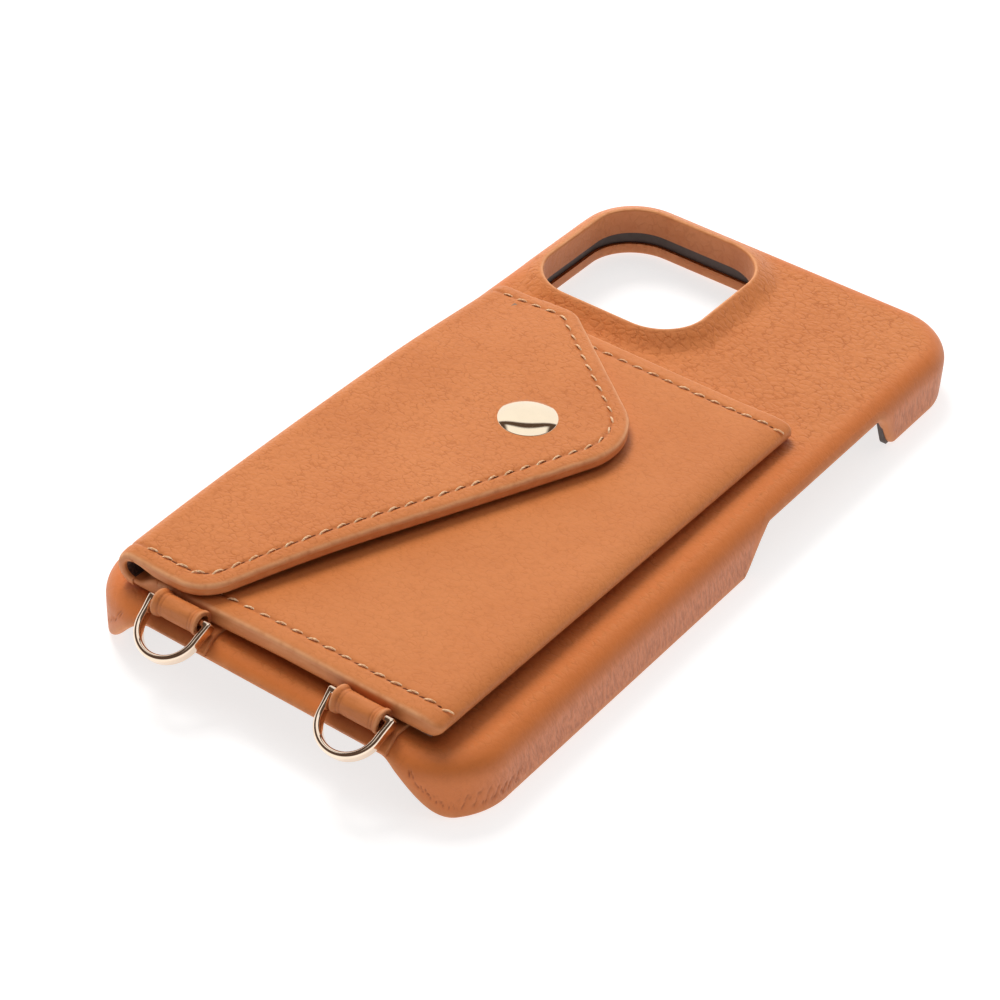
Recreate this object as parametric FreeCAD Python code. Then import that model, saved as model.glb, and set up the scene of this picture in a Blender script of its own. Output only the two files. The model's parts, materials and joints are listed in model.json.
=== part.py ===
import FreeCAD, Part
import math
import os
from FreeCAD import Vector

# Leather phone case with a card pouch and two D-rings, lying screen side down.
# Millimetres. X runs across the case, +Y towards the camera end, +Z out of the back.
# The origin is the centre of the phone bay, on the plane that the case lies on.

# the phone that the case grips
phone_width = 71.5
phone_length = 146.7
phone_depth = 7.65
phone_corner = 10.3

# the moulded tray and its leather
lip_height = 0.35
lip_overhang = 0.6
lining_thickness = 0.5
shell_back = 1.2
shell_wall = 1.1
cover_back = 1.1
cover_wall = 0.8
edge_round = 3.6
foot_bevel = 0.35
leather_turn = 0.6

# the raised camera window
window_from_side = 19.75
window_from_end = 21.05
window_half = 16.2
window_corner = 9.0
rim_height = 2.4
rim_crest = 1.7
rim_slope = 2.6
rim_round = 0.75

# cut-outs in the walls: how far each is from the camera end, its length, height and lean
volume_from_end = 28.75
volume_length = 35.4
side_cut_height = 8.3
volume_low_lean = 5.6
volume_high_lean = 4.2
power_from_end = 38.35
power_length = 20.0
power_lean = 4.6
port_from_side = 11.15
port_lean = 7.6
port_cut_height = 8.75
cut_corner = 3.2
cut_foot = 3.0

# the card pouch: one strip of leather folded at the right, stitched along both ends
strip_thickness = 1.1
pouch_from_right = 7.75
pouch_from_left = 8.75
pouch_from_low_end = 5.15
pouch_from_window = 9.1
mouth_inset = 3.4
pouch_corner = 1.5
bond_thickness = 0.4
bond_inset = 2.2
lining_sheet = 0.2
card_space = 0.8
seam_width = 4.0

# the envelope flap and its fold
flap_gap = 0.8
flap_inner = 1.1
flap_board = 0.4
board_inset = 4.2
flap_overhang = 0.6
fold_lining_thickness = 0.6
flap_shoulder_reach = 14.1
flap_tip_reach = 44.4
flap_tip_drop = 24.0
flap_heel_reach = 13.2
flap_shoulder_round = 5.0
flap_tip_round = 13.0
flap_heel_round = 6.0
flap_inner_start = 1.2

# the snap
snap_from_tip = 18.0
snap_below_tip = 6.9
cap_radius = 5.1
cap_dome = 1.45
cap_wall = 0.35
cap_shank = 1.55
socket_radius = 4.5
socket_drop = 0.2
cavity_radius = 2.5
cavity_roof = 0.25
spring_inside = 2.15
spring_width = 0.45
spring_height = 0.35
spring_gap = 50.0
spring_rise = 0.55
spring_slack = 0.03
stud_head = 1.7
stud_neck = 1.4
stud_rise = 1.75
stud_bore = 0.95
flange_radius = 3.7
flange_thickness = 0.3
post_play = 0.05
hole_play = 0.1

# the D-rings and the leather loops that hold their bars
ring_spacing = 35.0
ring_half = 5.8
ring_wall = 1.2
ring_depth = 2.2
ring_reach = 2.9
ring_corner = 0.4
ring_soften = 0.25
ring_droop = 32.0
bar_out = 1.15
bar_rise = 6.05
bar_play = 0.08
loop_leather = 0.74
loop_width = 8.8
tail_leather = 0.7
tail_width = 13.0
tail_under = 10.5

# derived levels and sizes
bay_top = lip_height + phone_depth
plate_bottom = bay_top + lining_thickness
plate_top = plate_bottom + shell_back
back_level = plate_top + cover_back
wall = shell_wall + cover_wall
case_half_x = phone_width / 2 + wall
case_half_y = phone_length / 2 + wall
case_corner = phone_corner + wall
window_centre_x = -phone_width / 2 + window_from_side
window_centre_y = phone_length / 2 - window_from_end
volume_high = phone_length / 2 - volume_from_end
volume_low = volume_high - volume_length
power_high = phone_length / 2 - power_from_end
power_low = power_high - power_length
port_half = phone_width / 2 - port_from_side
pouch_left = -case_half_x + pouch_from_left
pouch_right = case_half_x - pouch_from_right
pouch_mouth = pouch_left + mouth_inset
pouch_low = -case_half_y + pouch_from_low_end
pouch_high = window_centre_y - window_half - pouch_from_window
flap_low = pouch_low - flap_overhang
flap_shoulder_x = pouch_left + flap_shoulder_reach
flap_heel_x = pouch_left + flap_heel_reach
flap_tip_x = pouch_left + flap_tip_reach
flap_tip_y = pouch_high - flap_tip_drop
snap_x = flap_tip_x - snap_from_tip
snap_y = flap_tip_y - snap_below_tip
round_axis_y = -case_half_y + edge_round
round_axis_z = back_level - edge_round
crest_level = back_level + rim_height
pouch_bottom = back_level + bond_thickness
inside_low = pouch_bottom + strip_thickness
sleeve_thickness = card_space + 2 * lining_sheet
inside_high = inside_low + sleeve_thickness
pouch_top = inside_high + strip_thickness
flap_bottom = pouch_top + flap_gap
board_low = flap_bottom + flap_inner
board_high = board_low + flap_board
flap_top = board_high + strip_thickness
fold_radius = (flap_top - pouch_bottom) / 2
fold_level = (flap_top + pouch_bottom) / 2
bar_y = round_axis_y - bar_out
bar_z = round_axis_z + bar_rise
bar_hole = math.hypot(ring_wall, ring_depth) / 2 + bar_play
loop_radius = bar_hole + loop_leather


def outline(points, radii, place):
    """Closed wire through the points, each corner rounded to its radius."""
    starts = []
    ends = []
    middles = []
    count = len(points)
    for i in range(count):
        before = Vector(*points[i - 1], 0)
        corner = Vector(*points[i], 0)
        after = Vector(*points[(i + 1) % count], 0)
        u = (before - corner).normalize()
        v = (after - corner).normalize()
        half = u.getAngle(v) / 2
        run = radii[i] / math.tan(half)
        bisector = (u + v).normalize()
        starts.append(corner + u * run)
        ends.append(corner + v * run)
        middles.append(corner + bisector * (radii[i] / math.sin(half) - radii[i]))
    edges = []
    for i in range(count):
        here = [place(p.x, p.y) for p in (starts[i], middles[i], ends[i])]
        following = place(starts[(i + 1) % count].x, starts[(i + 1) % count].y)
        if radii[i] > 0:
            edges.append(Part.Arc(*here).toShape())
        if here[2].distanceToPoint(following) > 1e-6:
            edges.append(Part.makeLine(here[2], following))
    return Part.Wire(edges)


def flat(level):
    return lambda u, v: Vector(u, v, level)


def prism(points, radii, low, high):
    face = Part.Face(outline(points, radii, flat(low)))
    return face.extrude(Vector(0, 0, high - low))


def box_points(half_x, half_y, centre_x=0.0, centre_y=0.0):
    left = centre_x - half_x
    right = centre_x + half_x
    return [
        (left, centre_y - half_y),
        (right, centre_y - half_y),
        (right, centre_y + half_y),
        (left, centre_y + half_y),
    ]


def rounded_plate(half_x, half_y, corner, low, high, centre_x=0.0, centre_y=0.0):
    return prism(box_points(half_x, half_y, centre_x, centre_y), [corner] * 4, low, high)


def block(x0, x1, y0, y1, z0, z1):
    return Part.makeBox(x1 - x0, y1 - y0, z1 - z0, Vector(x0, y0, z0))


def disc(radius, low, high, x=snap_x, y=snap_y):
    return Part.makeCylinder(radius, high - low, Vector(x, y, low))


def rod(radius, x0, x1, y, z):
    return Part.makeCylinder(radius, x1 - x0, Vector(x0, y, z), Vector(1, 0, 0))


def edges_at(shape, level):
    return [
        e for e in shape.Edges
        if abs(e.BoundBox.ZMin - level) < 1e-4 and abs(e.BoundBox.ZMax - level) < 1e-4
    ]


def case_body(inset_x, low, high, top_round):
    """Plan of the case, drawn in by an inset, with a rounded back edge."""
    body = rounded_plate(
        case_half_x - inset_x, case_half_y - inset_x, case_corner - inset_x, low, high
    )
    return body.makeFillet(top_round, edges_at(body, high))


def window_prism(grow, low, high):
    half = window_half + grow
    return rounded_plate(
        half, half, window_corner + grow, low, high, window_centre_x, window_centre_y
    )


def window_boss(skin):
    """Raised rim round the cameras, drawn in by the thickness of the skin over it."""
    crest = crest_level - skin
    fall = rim_height + edge_round / 2
    spread = rim_slope * fall / rim_height
    half = window_half + rim_crest + spread - skin
    corner = window_corner + rim_crest + spread - skin
    boss = rounded_plate(
        half, half, corner, crest - fall - 0.5, crest, window_centre_x, window_centre_y
    )
    boss = boss.makeChamfer(spread, fall, edges_at(boss, crest))
    return boss.common(rounded_plate(case_half_x - skin, case_half_y - skin, case_corner - skin, 0, crest))


def cut_profile(low, high, low_lean, high_lean, height, grow):
    """Outline of a wall cut-out: leaning ends with round corners and a flared foot."""
    floor = -0.6
    below = -2.0
    flare = 6.0
    slope = math.hypot(1, low_lean / height)
    low_grow = grow * slope
    high_grow = grow * math.hypot(1, high_lean / height)
    points = [
        (low - low_lean - low_grow - flare, below),
        (high + high_lean + high_grow + flare, below),
        (high + high_lean + high_grow + flare, floor),
        (high + high_lean + high_grow, floor),
        (high + high_grow, height + grow),
        (low - low_grow, height + grow),
        (low - low_lean - low_grow, floor),
        (low - low_lean - low_grow - flare, floor),
    ]
    radii = [0, 0, 0, cut_foot, cut_corner + grow, cut_corner + grow, cut_foot, 0]
    return points, radii


def wall_cut(profile, across, near, deep, far):
    """Cutter through one wall: below the back plate it reaches deep, above only the wall."""
    points, radii = profile
    if across:
        place = lambda u, v: Vector(u, far, v)
    else:
        place = lambda u, v: Vector(far, u, v)
    face = Part.Face(outline(points, radii, place))
    axis = Vector(0, 1, 0) if across else Vector(1, 0, 0)
    low_part = face.extrude(axis * (deep - far))
    reach = 2 * case_half_y
    low_part = low_part.common(block(-reach, reach, -reach, reach, -3, plate_bottom - 0.1))
    return low_part.fuse(face.extrude(axis * (near - far)))


def wall_cuts(grow):
    past = 2.0
    inner_x = phone_width / 2 - 0.1
    inner_y = phone_length / 2 - 0.1
    volume = cut_profile(
        volume_low, volume_high, volume_low_lean, volume_high_lean, side_cut_height, grow
    )
    power = cut_profile(power_low, power_high, power_lean, power_lean, side_cut_height, grow)
    port = cut_profile(-port_half, port_half, port_lean, port_lean, port_cut_height, grow)
    return [
        wall_cut(volume, False, inner_x, inner_x - 1, case_half_x + past),
        wall_cut(power, False, -inner_x, 1 - inner_x, -case_half_x - past),
        wall_cut(port, True, -inner_y, phone_corner - inner_y, -case_half_y - past),
    ]


def phone_space():
    bay = rounded_plate(phone_width / 2, phone_length / 2, phone_corner, lip_height, plate_bottom)
    mouth = rounded_plate(
        phone_width / 2 - lip_overhang,
        phone_length / 2 - lip_overhang,
        phone_corner - lip_overhang,
        -1,
        lip_height + 0.1,
    )
    return bay.fuse(mouth)


def shell_blank():
    """The tray before its bay is taken out: what the leather is wrapped over."""
    tray = case_body(cover_wall, lip_height, plate_top, edge_round - cover_wall)
    blank = tray.fuse(window_boss(cover_back))
    blank = blank.cut(window_prism(leather_turn, 0, crest_level + 1))
    for cutter in wall_cuts(leather_turn):
        blank = blank.cut(cutter)
    return blank


def inner_shell(blank, bay):
    return blank.cut(bay).removeSplitter()


def shell_lining():
    slack = 0.1
    sheet = rounded_plate(
        phone_width / 2 - slack, phone_length / 2 - slack, phone_corner - slack, bay_top, plate_bottom
    )
    return sheet.cut(window_prism(leather_turn, 0, crest_level))


def leather_cover(blank, bay):
    skin = case_body(0, 0, back_level, edge_round)
    skin = skin.makeChamfer(foot_bevel, edges_at(skin, 0))
    boss = window_boss(0)
    boss = boss.cut(window_prism(0, 0, crest_level + 1))
    boss = boss.makeFillet(rim_round, edges_at(boss, crest_level))
    skin = skin.cut(window_prism(0, 0, crest_level + 1)).fuse(boss)
    for cutter in wall_cuts(0):
        skin = skin.cut(cutter)
    return skin.cut(blank).cut(bay).removeSplitter()


def strap_loop(x):
    """Leather loop round a D-ring's bar: its tail is glued down the end of the case."""
    roll = rod(loop_radius, x - loop_width / 2, x + loop_width / 2, bar_y, bar_z)
    x0 = x - tail_width / 2
    x1 = x + tail_width / 2
    tail = rod(edge_round + tail_leather, x0, x1, round_axis_y, round_axis_z)
    tail = tail.common(block(x0, x1, -case_half_y - 2, round_axis_y, port_cut_height + 0.4, back_level + 2))
    under = block(x0, x1, round_axis_y, pouch_low + tail_under, back_level, pouch_bottom)
    loop = roll.fuse([tail, under])
    body = case_body(0, 0, back_level, edge_round)
    loop = loop.cut(body)
    return loop.cut(rod(bar_hole, x0, x1, bar_y, bar_z)).removeSplitter()


def d_ring(x):
    """Flat-sided D-ring: its bar lies in the loop and it hangs outwards by its droop."""
    back = -ring_wall / 2
    tip = back + ring_wall / 2 + ring_reach + ring_half
    outer = [(-ring_half, back), (ring_half, back), (ring_half, tip), (-ring_half, tip)]
    inside = ring_half - ring_wall
    hole = [
        (-inside, back + ring_wall),
        (inside, back + ring_wall),
        (inside, tip - ring_wall),
        (-inside, tip - ring_wall),
    ]
    outward = lambda u, v: Vector(u, -v, -ring_depth / 2)
    thickness = Vector(0, 0, ring_depth)
    ring = Part.Face(outline(outer, [ring_corner, ring_corner, ring_half, ring_half], outward))
    gap = Part.Face(outline(hole, [0.2, 0.2, inside, inside], outward))
    ring = ring.extrude(thickness).cut(gap.extrude(thickness))
    flat_edges = edges_at(ring, -ring_depth / 2) + edges_at(ring, ring_depth / 2)
    ring = ring.makeChamfer(ring_soften, flat_edges)
    ring.rotate(Vector(0, 0, 0), Vector(1, 0, 0), ring_droop)
    ring.translate(Vector(x, bar_y, bar_z))
    return ring


def pouch_bond():
    """Adhesive sheet between the pouch and the cover, notched for the two loops."""
    sheet = block(
        pouch_left + bond_inset,
        pouch_right - bond_inset,
        pouch_low + bond_inset,
        pouch_high - bond_inset,
        back_level,
        pouch_bottom,
    )
    slack = 0.3
    for side in (-1, 1):
        middle = side * ring_spacing / 2
        notch = block(
            middle - tail_width / 2 - slack,
            middle + tail_width / 2 + slack,
            pouch_low,
            pouch_low + tail_under + slack,
            back_level - 1,
            pouch_bottom + 1,
        )
        sheet = sheet.cut(notch)
    return sheet


def side_profile(points, bulges):
    """Closed wire in the XZ plane at the pouch's low end: straight runs and half-round ends."""
    edges = []
    count = len(points)
    for i in range(count):
        a = Vector(points[i][0], pouch_low, points[i][1])
        b = Vector(points[(i + 1) % count][0], pouch_low, points[(i + 1) % count][1])
        if bulges[i]:
            middle = (a + b) / 2 + Vector(bulges[i], 0, 0)
            edges.append(Part.Arc(a, middle, b).toShape())
        else:
            edges.append(Part.makeLine(a, b))
    return Part.Wire(edges)


def pouch_depth(shape_face):
    return shape_face.extrude(Vector(0, pouch_high - pouch_low, 0))


def pouch_corners():
    half_x = pouch_right - pouch_left
    half_y = (pouch_high - pouch_low) / 2
    return rounded_plate(
        half_x, half_y, pouch_corner, 0, crest_level + 5, pouch_left, pouch_low + half_y
    )


def pouch_leather():
    """Back panel, right-hand fold and front panel in one bent strip."""
    outer = (pouch_top - pouch_bottom) / 2
    inner = outer - strip_thickness
    turn = pouch_right - outer
    points = [
        (pouch_left, pouch_bottom),
        (turn, pouch_bottom),
        (turn, pouch_top),
        (pouch_mouth, pouch_top),
        (pouch_mouth, inside_high),
        (turn, inside_high),
        (turn, inside_low),
        (pouch_left, inside_low),
    ]
    bulges = [0, outer, 0, 0, 0, inner, 0, 0]
    strip = pouch_depth(Part.Face(side_profile(points, bulges)))
    strip = strip.common(pouch_corners())
    return strip.cut(disc(cap_shank, inside_low + 0.5, pouch_top + 1)).removeSplitter()


def pouch_lining():
    """Suede-like sleeve between the panels, thick along the two stitched ends."""
    outer = (pouch_top - pouch_bottom) / 2
    turn = pouch_right - outer
    inner = outer - strip_thickness
    points = [
        (pouch_mouth, inside_low),
        (turn, inside_low),
        (turn, inside_high),
        (pouch_mouth, inside_high),
    ]
    sleeve = pouch_depth(Part.Face(side_profile(points, [0, inner, 0, 0])))
    tongue = block(pouch_left, pouch_mouth, pouch_low, pouch_high, inside_low, inside_low + lining_sheet)
    sleeve = sleeve.fuse(tongue).common(pouch_corners())
    room = block(
        pouch_mouth - 1,
        turn,
        pouch_low + seam_width,
        pouch_high - seam_width,
        inside_low + lining_sheet,
        inside_high - lining_sheet,
    )
    sleeve = sleeve.cut(room)
    return sleeve.cut(disc(flange_radius + hole_play, inside_high - lining_sheet, inside_high)).removeSplitter()


def fold_band(outside, inside):
    """Half-round band along the left side, between the back panel and the flap."""
    length = pouch_high - flap_low
    start = Vector(pouch_left, flap_low, fold_level)
    along = Vector(0, 1, 0)
    band = Part.makeCylinder(outside, length, start, along)
    band = band.cut(Part.makeCylinder(inside, length, start, along))
    return band.common(
        block(pouch_left - outside, pouch_left, flap_low, pouch_high, 0, flap_top + 1)
    )


def flap_points(start_x, inset):
    """Envelope flap: straight along the fold, with shoulder, rounded tip and heel."""
    heel = Vector(flap_heel_x, flap_low, 0)
    tip = Vector(flap_tip_x, flap_tip_y, 0)
    shoulder = Vector(flap_shoulder_x, pouch_high, 0)
    lower_run = (tip - heel).normalize()
    upper_run = (shoulder - tip).normalize()
    lower_in = Vector(-lower_run.y, lower_run.x, 0) * inset
    upper_in = Vector(-upper_run.y, upper_run.x, 0) * inset

    def at_level(point, run, level):
        return point + run * ((level - point.y) / run.y)

    low = at_level(heel + lower_in, lower_run, flap_low + inset)
    high = at_level(shoulder + upper_in, upper_run, pouch_high - inset)
    a = heel + lower_in
    b = tip + upper_in
    cross = lower_run.x * upper_run.y - lower_run.y * upper_run.x
    along = ((b.x - a.x) * upper_run.y - (b.y - a.y) * upper_run.x) / cross
    point = a + lower_run * along
    return [
        (start_x, flap_low + inset),
        (low.x, low.y),
        (point.x, point.y),
        (high.x, high.y),
        (start_x, pouch_high - inset),
    ]


def flap_sheet(start_x, inset, low, high):
    radii = [0, flap_heel_round - inset, flap_tip_round - inset, flap_shoulder_round - inset, 0]
    return prism(flap_points(start_x, inset), radii, low, high)


def flap_leather():
    sheet = flap_sheet(pouch_left, 0, board_high, flap_top)
    return sheet.cut(disc(cap_shank + hole_play, board_high - 1, flap_top + 1))


def flap_stiffener():
    sheet = flap_sheet(pouch_left + board_inset, board_inset, board_low, board_high)
    return sheet.cut(disc(socket_radius + hole_play, board_low - 1, board_high + 1))


def flap_lining():
    """Inner leather of the flap, pressed round the stiffener."""
    sheet = flap_sheet(pouch_left + flap_inner_start, 0, flap_bottom, board_high)
    sheet = sheet.cut(flap_sheet(pouch_left + board_inset, board_inset, board_low, board_high))
    return sheet.cut(disc(socket_radius + hole_play, flap_bottom - 1, board_high + 1))


def turned(profile, x=snap_x, y=snap_y):
    """Solid of revolution about the snap's axis from (radius, level) points."""
    points = [Vector(x + r, y, z) for r, z in profile]
    wire = Part.makePolygon(points + [points[0]])
    return Part.Face(wire).revolve(Vector(x, y, 0), Vector(0, 0, 1), 360)


def dome(radius, height, base):
    """Spherical cap that stands on a disc of the radius at the base level."""
    ball = (radius ** 2 + height ** 2) / (2 * height)
    sphere = Part.makeSphere(ball, Vector(snap_x, snap_y, base + height - ball))
    return sphere.common(disc(radius + 1, base, base + height + 1))


def snap_cap():
    """Domed cap with its hollow rivet shank through the flap's leather."""
    shell = dome(cap_radius, cap_dome, flap_top)
    shell = shell.cut(dome(cap_radius - 2 * cap_wall, cap_dome - cap_wall, flap_top))
    shank_bottom = board_high - cavity_roof
    crown = flap_top + cap_dome - cap_wall
    shank = disc(cap_shank, shank_bottom, crown)
    shank = shank.cut(disc(cap_shank - cap_wall, shank_bottom, crown - 0.2))
    return shell.fuse(shank).removeSplitter()


def snap_socket():
    """Socket under the flap: a deep cup with a rolled rim, open downwards."""
    low = flap_bottom - socket_drop
    roof = board_high - cavity_roof
    rim = 0.35
    groove_low = low + spring_rise - spring_slack
    groove_high = groove_low + spring_height + 2 * spring_slack
    groove_radius = spring_inside + spring_width + spring_slack
    profile = [
        (cap_shank + 0.02, roof),
        (cavity_radius, roof),
        (cavity_radius, groove_high),
        (groove_radius, groove_high),
        (groove_radius, groove_low),
        (cavity_radius, groove_low),
        (cavity_radius, low + rim),
        (cavity_radius + rim, low),
        (socket_radius - rim, low),
        (socket_radius, low + rim),
        (socket_radius, board_high),
        (cap_shank + 0.02, board_high),
    ]
    return turned(profile)


def snap_spring():
    """Open spring ring in the socket's groove, which snaps past the stud's head."""
    level = flap_bottom - socket_drop + spring_rise
    inner = Vector(snap_x + spring_inside, snap_y, level)
    section = Part.makePlane(spring_height, spring_width, inner, Vector(0, -1, 0), Vector(0, 0, 1))
    return section.revolve(Vector(snap_x, snap_y, 0), Vector(0, 0, 1), 360 - spring_gap)


def snap_stud():
    """Stud on the pouch's front: flange, waisted neck and round head."""
    top = pouch_top + stud_rise
    flange_top = pouch_top + flange_thickness
    belly = top - 0.55
    profile = [
        (stud_bore, pouch_top),
        (flange_radius, pouch_top),
        (flange_radius, pouch_top + flange_thickness / 2),
        (flange_radius - 0.5, flange_top),
        (stud_neck, flange_top),
        (stud_neck, belly - 0.45),
        (stud_head, belly),
        (stud_head - 0.15, top - 0.2),
        (stud_head - 0.5, top),
        (stud_bore, top),
    ]
    return turned(profile)


def snap_post():
    """Rivet behind the front panel, its shank set up through the stud."""
    head = disc(flange_radius, inside_high - lining_sheet, inside_high)
    shank = disc(stud_bore - post_play, inside_high, pouch_top + stud_rise - 0.3)
    return head.fuse(shank).removeSplitter()


def write(name, shape):
    shape.exportStep(os.path.join("parts", name + ".step"))
    box = shape.BoundBox
    print(
        f"{name:16s} solids {len(shape.Solids)} valid {shape.isValid()} volume {shape.Volume:9.2f}"
        f" x {box.XMin:.2f} {box.XMax:.2f} y {box.YMin:.2f} {box.YMax:.2f} z {box.ZMin:.2f} {box.ZMax:.2f}"
    )


def main():
    os.makedirs("parts", exist_ok=True)
    bay = phone_space()
    blank = shell_blank()
    write("inner_shell", inner_shell(blank, bay))
    write("shell_lining", shell_lining())
    write("leather_cover", leather_cover(blank, bay))
    for name, side in (("left", -1), ("right", 1)):
        x = side * ring_spacing / 2
        write("strap_loop_" + name, strap_loop(x))
        write("d_ring_" + name, d_ring(x))
    write("pouch_bond", pouch_bond())
    write("pouch_leather", pouch_leather())
    write("pouch_lining", pouch_lining())
    write("flap_fold", fold_band(fold_radius, fold_radius - strip_thickness))
    inner_fold = fold_radius - strip_thickness
    write("fold_lining", fold_band(inner_fold, inner_fold - fold_lining_thickness))
    write("flap_leather", flap_leather())
    write("flap_stiffener", flap_stiffener())
    write("flap_lining", flap_lining())
    write("snap_cap", snap_cap())
    write("snap_socket", snap_socket())
    write("snap_spring", snap_spring())
    write("snap_stud", snap_stud())
    write("snap_post", snap_post())


main()
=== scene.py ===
import json
import math

import bmesh
import bpy
import numpy as np
from mathutils import Matrix, Vector
from mathutils.geometry import delaunay_2d_cdt


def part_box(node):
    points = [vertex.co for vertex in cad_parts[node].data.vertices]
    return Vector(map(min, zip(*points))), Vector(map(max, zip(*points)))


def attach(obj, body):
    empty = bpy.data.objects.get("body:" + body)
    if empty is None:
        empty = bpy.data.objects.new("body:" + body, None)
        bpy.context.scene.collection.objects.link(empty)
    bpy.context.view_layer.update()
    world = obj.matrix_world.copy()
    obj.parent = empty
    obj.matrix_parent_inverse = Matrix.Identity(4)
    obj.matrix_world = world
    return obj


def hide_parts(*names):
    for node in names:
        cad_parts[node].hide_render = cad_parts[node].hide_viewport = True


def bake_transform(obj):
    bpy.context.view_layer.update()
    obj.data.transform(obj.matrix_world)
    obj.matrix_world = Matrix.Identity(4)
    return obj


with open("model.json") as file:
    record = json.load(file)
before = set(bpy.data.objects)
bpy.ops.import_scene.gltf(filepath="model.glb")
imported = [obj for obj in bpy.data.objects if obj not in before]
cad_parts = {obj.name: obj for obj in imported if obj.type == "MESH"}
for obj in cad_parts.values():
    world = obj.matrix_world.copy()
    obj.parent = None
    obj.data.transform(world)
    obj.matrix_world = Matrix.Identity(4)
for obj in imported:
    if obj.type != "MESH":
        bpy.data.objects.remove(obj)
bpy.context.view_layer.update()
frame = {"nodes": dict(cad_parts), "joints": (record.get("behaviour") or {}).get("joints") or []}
mm = 0.001


def boxMm(node):
    lo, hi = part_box(node)
    return np.array(lo) / mm, np.array(hi) / mm


def jointMm(name):
    found = [j for j in frame["joints"] if j["name"] == name][0]
    return np.array(found["pos_m"]) / mm


coverHi = boxMm("leather_cover")[1]
pouchLo, pouchHi = boxMm("pouch_leather")
flapLo, flapHi = boxMm("flap_leather")
flapInLo, flapInHi = boxMm("flap_lining")
foldLo, foldHi = boxMm("flap_fold")
foldInLo, foldInHi = boxMm("fold_lining")
pouchInLo, pouchInHi = boxMm("pouch_lining")
capLo, capHi = boxMm("snap_cap")

case = {
    "halfX": coverHi[0],
    "halfY": coverHi[1],
    "corner": 12.2,
    "back": boxMm("pouch_bond")[0][2],
    "fillet": 3.6,
    "wall": 1.9,
}

# mesh helpers


def smoothstep(t):
    t = np.clip(t, 0.0, 1.0)
    return t * t * (3 - 2 * t)


tones = ("edge", "wall", "shade", "rub", "calm")


def columns(*parts):
    # side by side, with single values filled down
    return np.stack(np.broadcast_arrays(*parts), -1)


def arcPoint(centre, radius, degrees):
    a = math.radians(degrees)
    return centre[0] + radius * math.cos(a), centre[1] + radius * math.sin(a)


def onCircle(centre, radius, angles):
    return centre[0] + radius * np.cos(angles), centre[1] + radius * np.sin(angles)


def newBag():
    return {"co": [], "faces": [], "slots": [], "grain": [], "count": 0, **{t: [] for t in tones}}


def addPoints(bag, co, grain=None, **tone):
    co = np.asarray(co, float).reshape(-1, 3)
    n = len(co)
    grain = co if grain is None else np.asarray(grain, float).reshape(-1, 3)
    bag["co"].append(co)
    bag["grain"].append(grain)
    for t in tones:
        value = np.asarray(tone.get(t, 0.0), float).ravel()
        bag[t].append(np.full(n, value[0]) if value.size == 1 else value)
    start = bag["count"]
    bag["count"] += n
    return np.arange(start, start + n)


def addFaces(bag, faces, slot=0):
    bag["faces"].extend(faces)
    bag["slots"].extend([slot] * len(faces))


def addGrid(bag, co, grain=None, closeRows=False, closeCols=False, flip=False, slot=0, **tone):
    # co is rows x columns x 3
    rows, cols = co.shape[:2]
    tone = {k: np.broadcast_to(v, (rows, cols)) if np.size(v) > 1 else v for k, v in tone.items()}
    ids = addPoints(bag, co, grain, **tone).reshape(rows, cols)
    r = ids if not closeRows else np.vstack([ids, ids[:1]])
    r = r if not closeCols else np.hstack([r, r[:, :1]])
    quads = np.stack([r[:-1, :-1], r[:-1, 1:], r[1:, 1:], r[1:, :-1]], -1).reshape(-1, 4)
    if flip:
        quads = quads[:, ::-1]
    addFaces(bag, quads.tolist(), slot)
    return ids


class Rows:
    # rows of points for one grid, with the grain and the tones of each

    def __init__(self):
        self.co = []
        self.grain = []
        self.tone = []

    def add(self, co, grain, **tone):
        self.co.append(co)
        self.grain.append(grain)
        self.tone.append({k: np.broadcast_to(v, len(co)) for k, v in tone.items()})

    def build(self, bag, **options):
        tone = {k: np.array([t[k] for t in self.tone]) for k in self.tone[0]}
        co = np.array(self.co)
        addGrid(bag, co, np.array(self.grain), **tone, **options)
        return co


def addFill(bag, outer, holes, inside, height, grain=None, flip=False, slot=0, **tone):
    # Delaunay fill between closed outlines: outer and holes are n x 2, inside is extra points
    loops = [np.asarray(outer)] + [np.asarray(h) for h in holes]
    points = []
    edges = []
    for loop in loops:
        start = len(points)
        points.extend(loop.tolist())
        edges.extend([(start + i, start + (i + 1) % len(loop)) for i in range(len(loop))])
    points.extend(np.asarray(inside).tolist())
    verts, _, tris, _, _, _ = delaunay_2d_cdt(
        [Vector(p) for p in points], edges, [], 2 if holes else 1, 1e-5
    )
    verts = np.array([[v.x, v.y] for v in verts])
    kept = []
    for t in tris:
        c = verts[list(t)].mean(0)
        if insideLoop(c, loops[0]) and not any(insideLoop(c, h) for h in loops[1:]):
            a, b, d = verts[t[0]], verts[t[1]], verts[t[2]]
            area = (b[0] - a[0]) * (d[1] - a[1]) - (b[1] - a[1]) * (d[0] - a[0])
            kept.append(list(t) if area > 0 else list(t)[::-1])
    co = np.column_stack([verts, height(verts[:, 0], verts[:, 1])])
    g = None if grain is None else grain(verts[:, 0], verts[:, 1])
    tone = {k: v(verts[:, 0], verts[:, 1]) if callable(v) else v for k, v in tone.items()}
    ids = addPoints(bag, co, g, **tone)
    faces = [[int(ids[i]) for i in t] for t in kept]
    addFaces(bag, [f[::-1] for f in faces] if flip else faces, slot)
    return ids


def insideLoop(p, loop):
    x, y = p
    x0, y0 = loop[:, 0], loop[:, 1]
    x1, y1 = np.roll(x0, -1), np.roll(y0, -1)
    cross = ((y0 > y) != (y1 > y)) & (x < (x1 - x0) * (y - y0) / (y1 - y0 + 1e-30) + x0)
    return bool(cross.sum() % 2)


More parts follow.
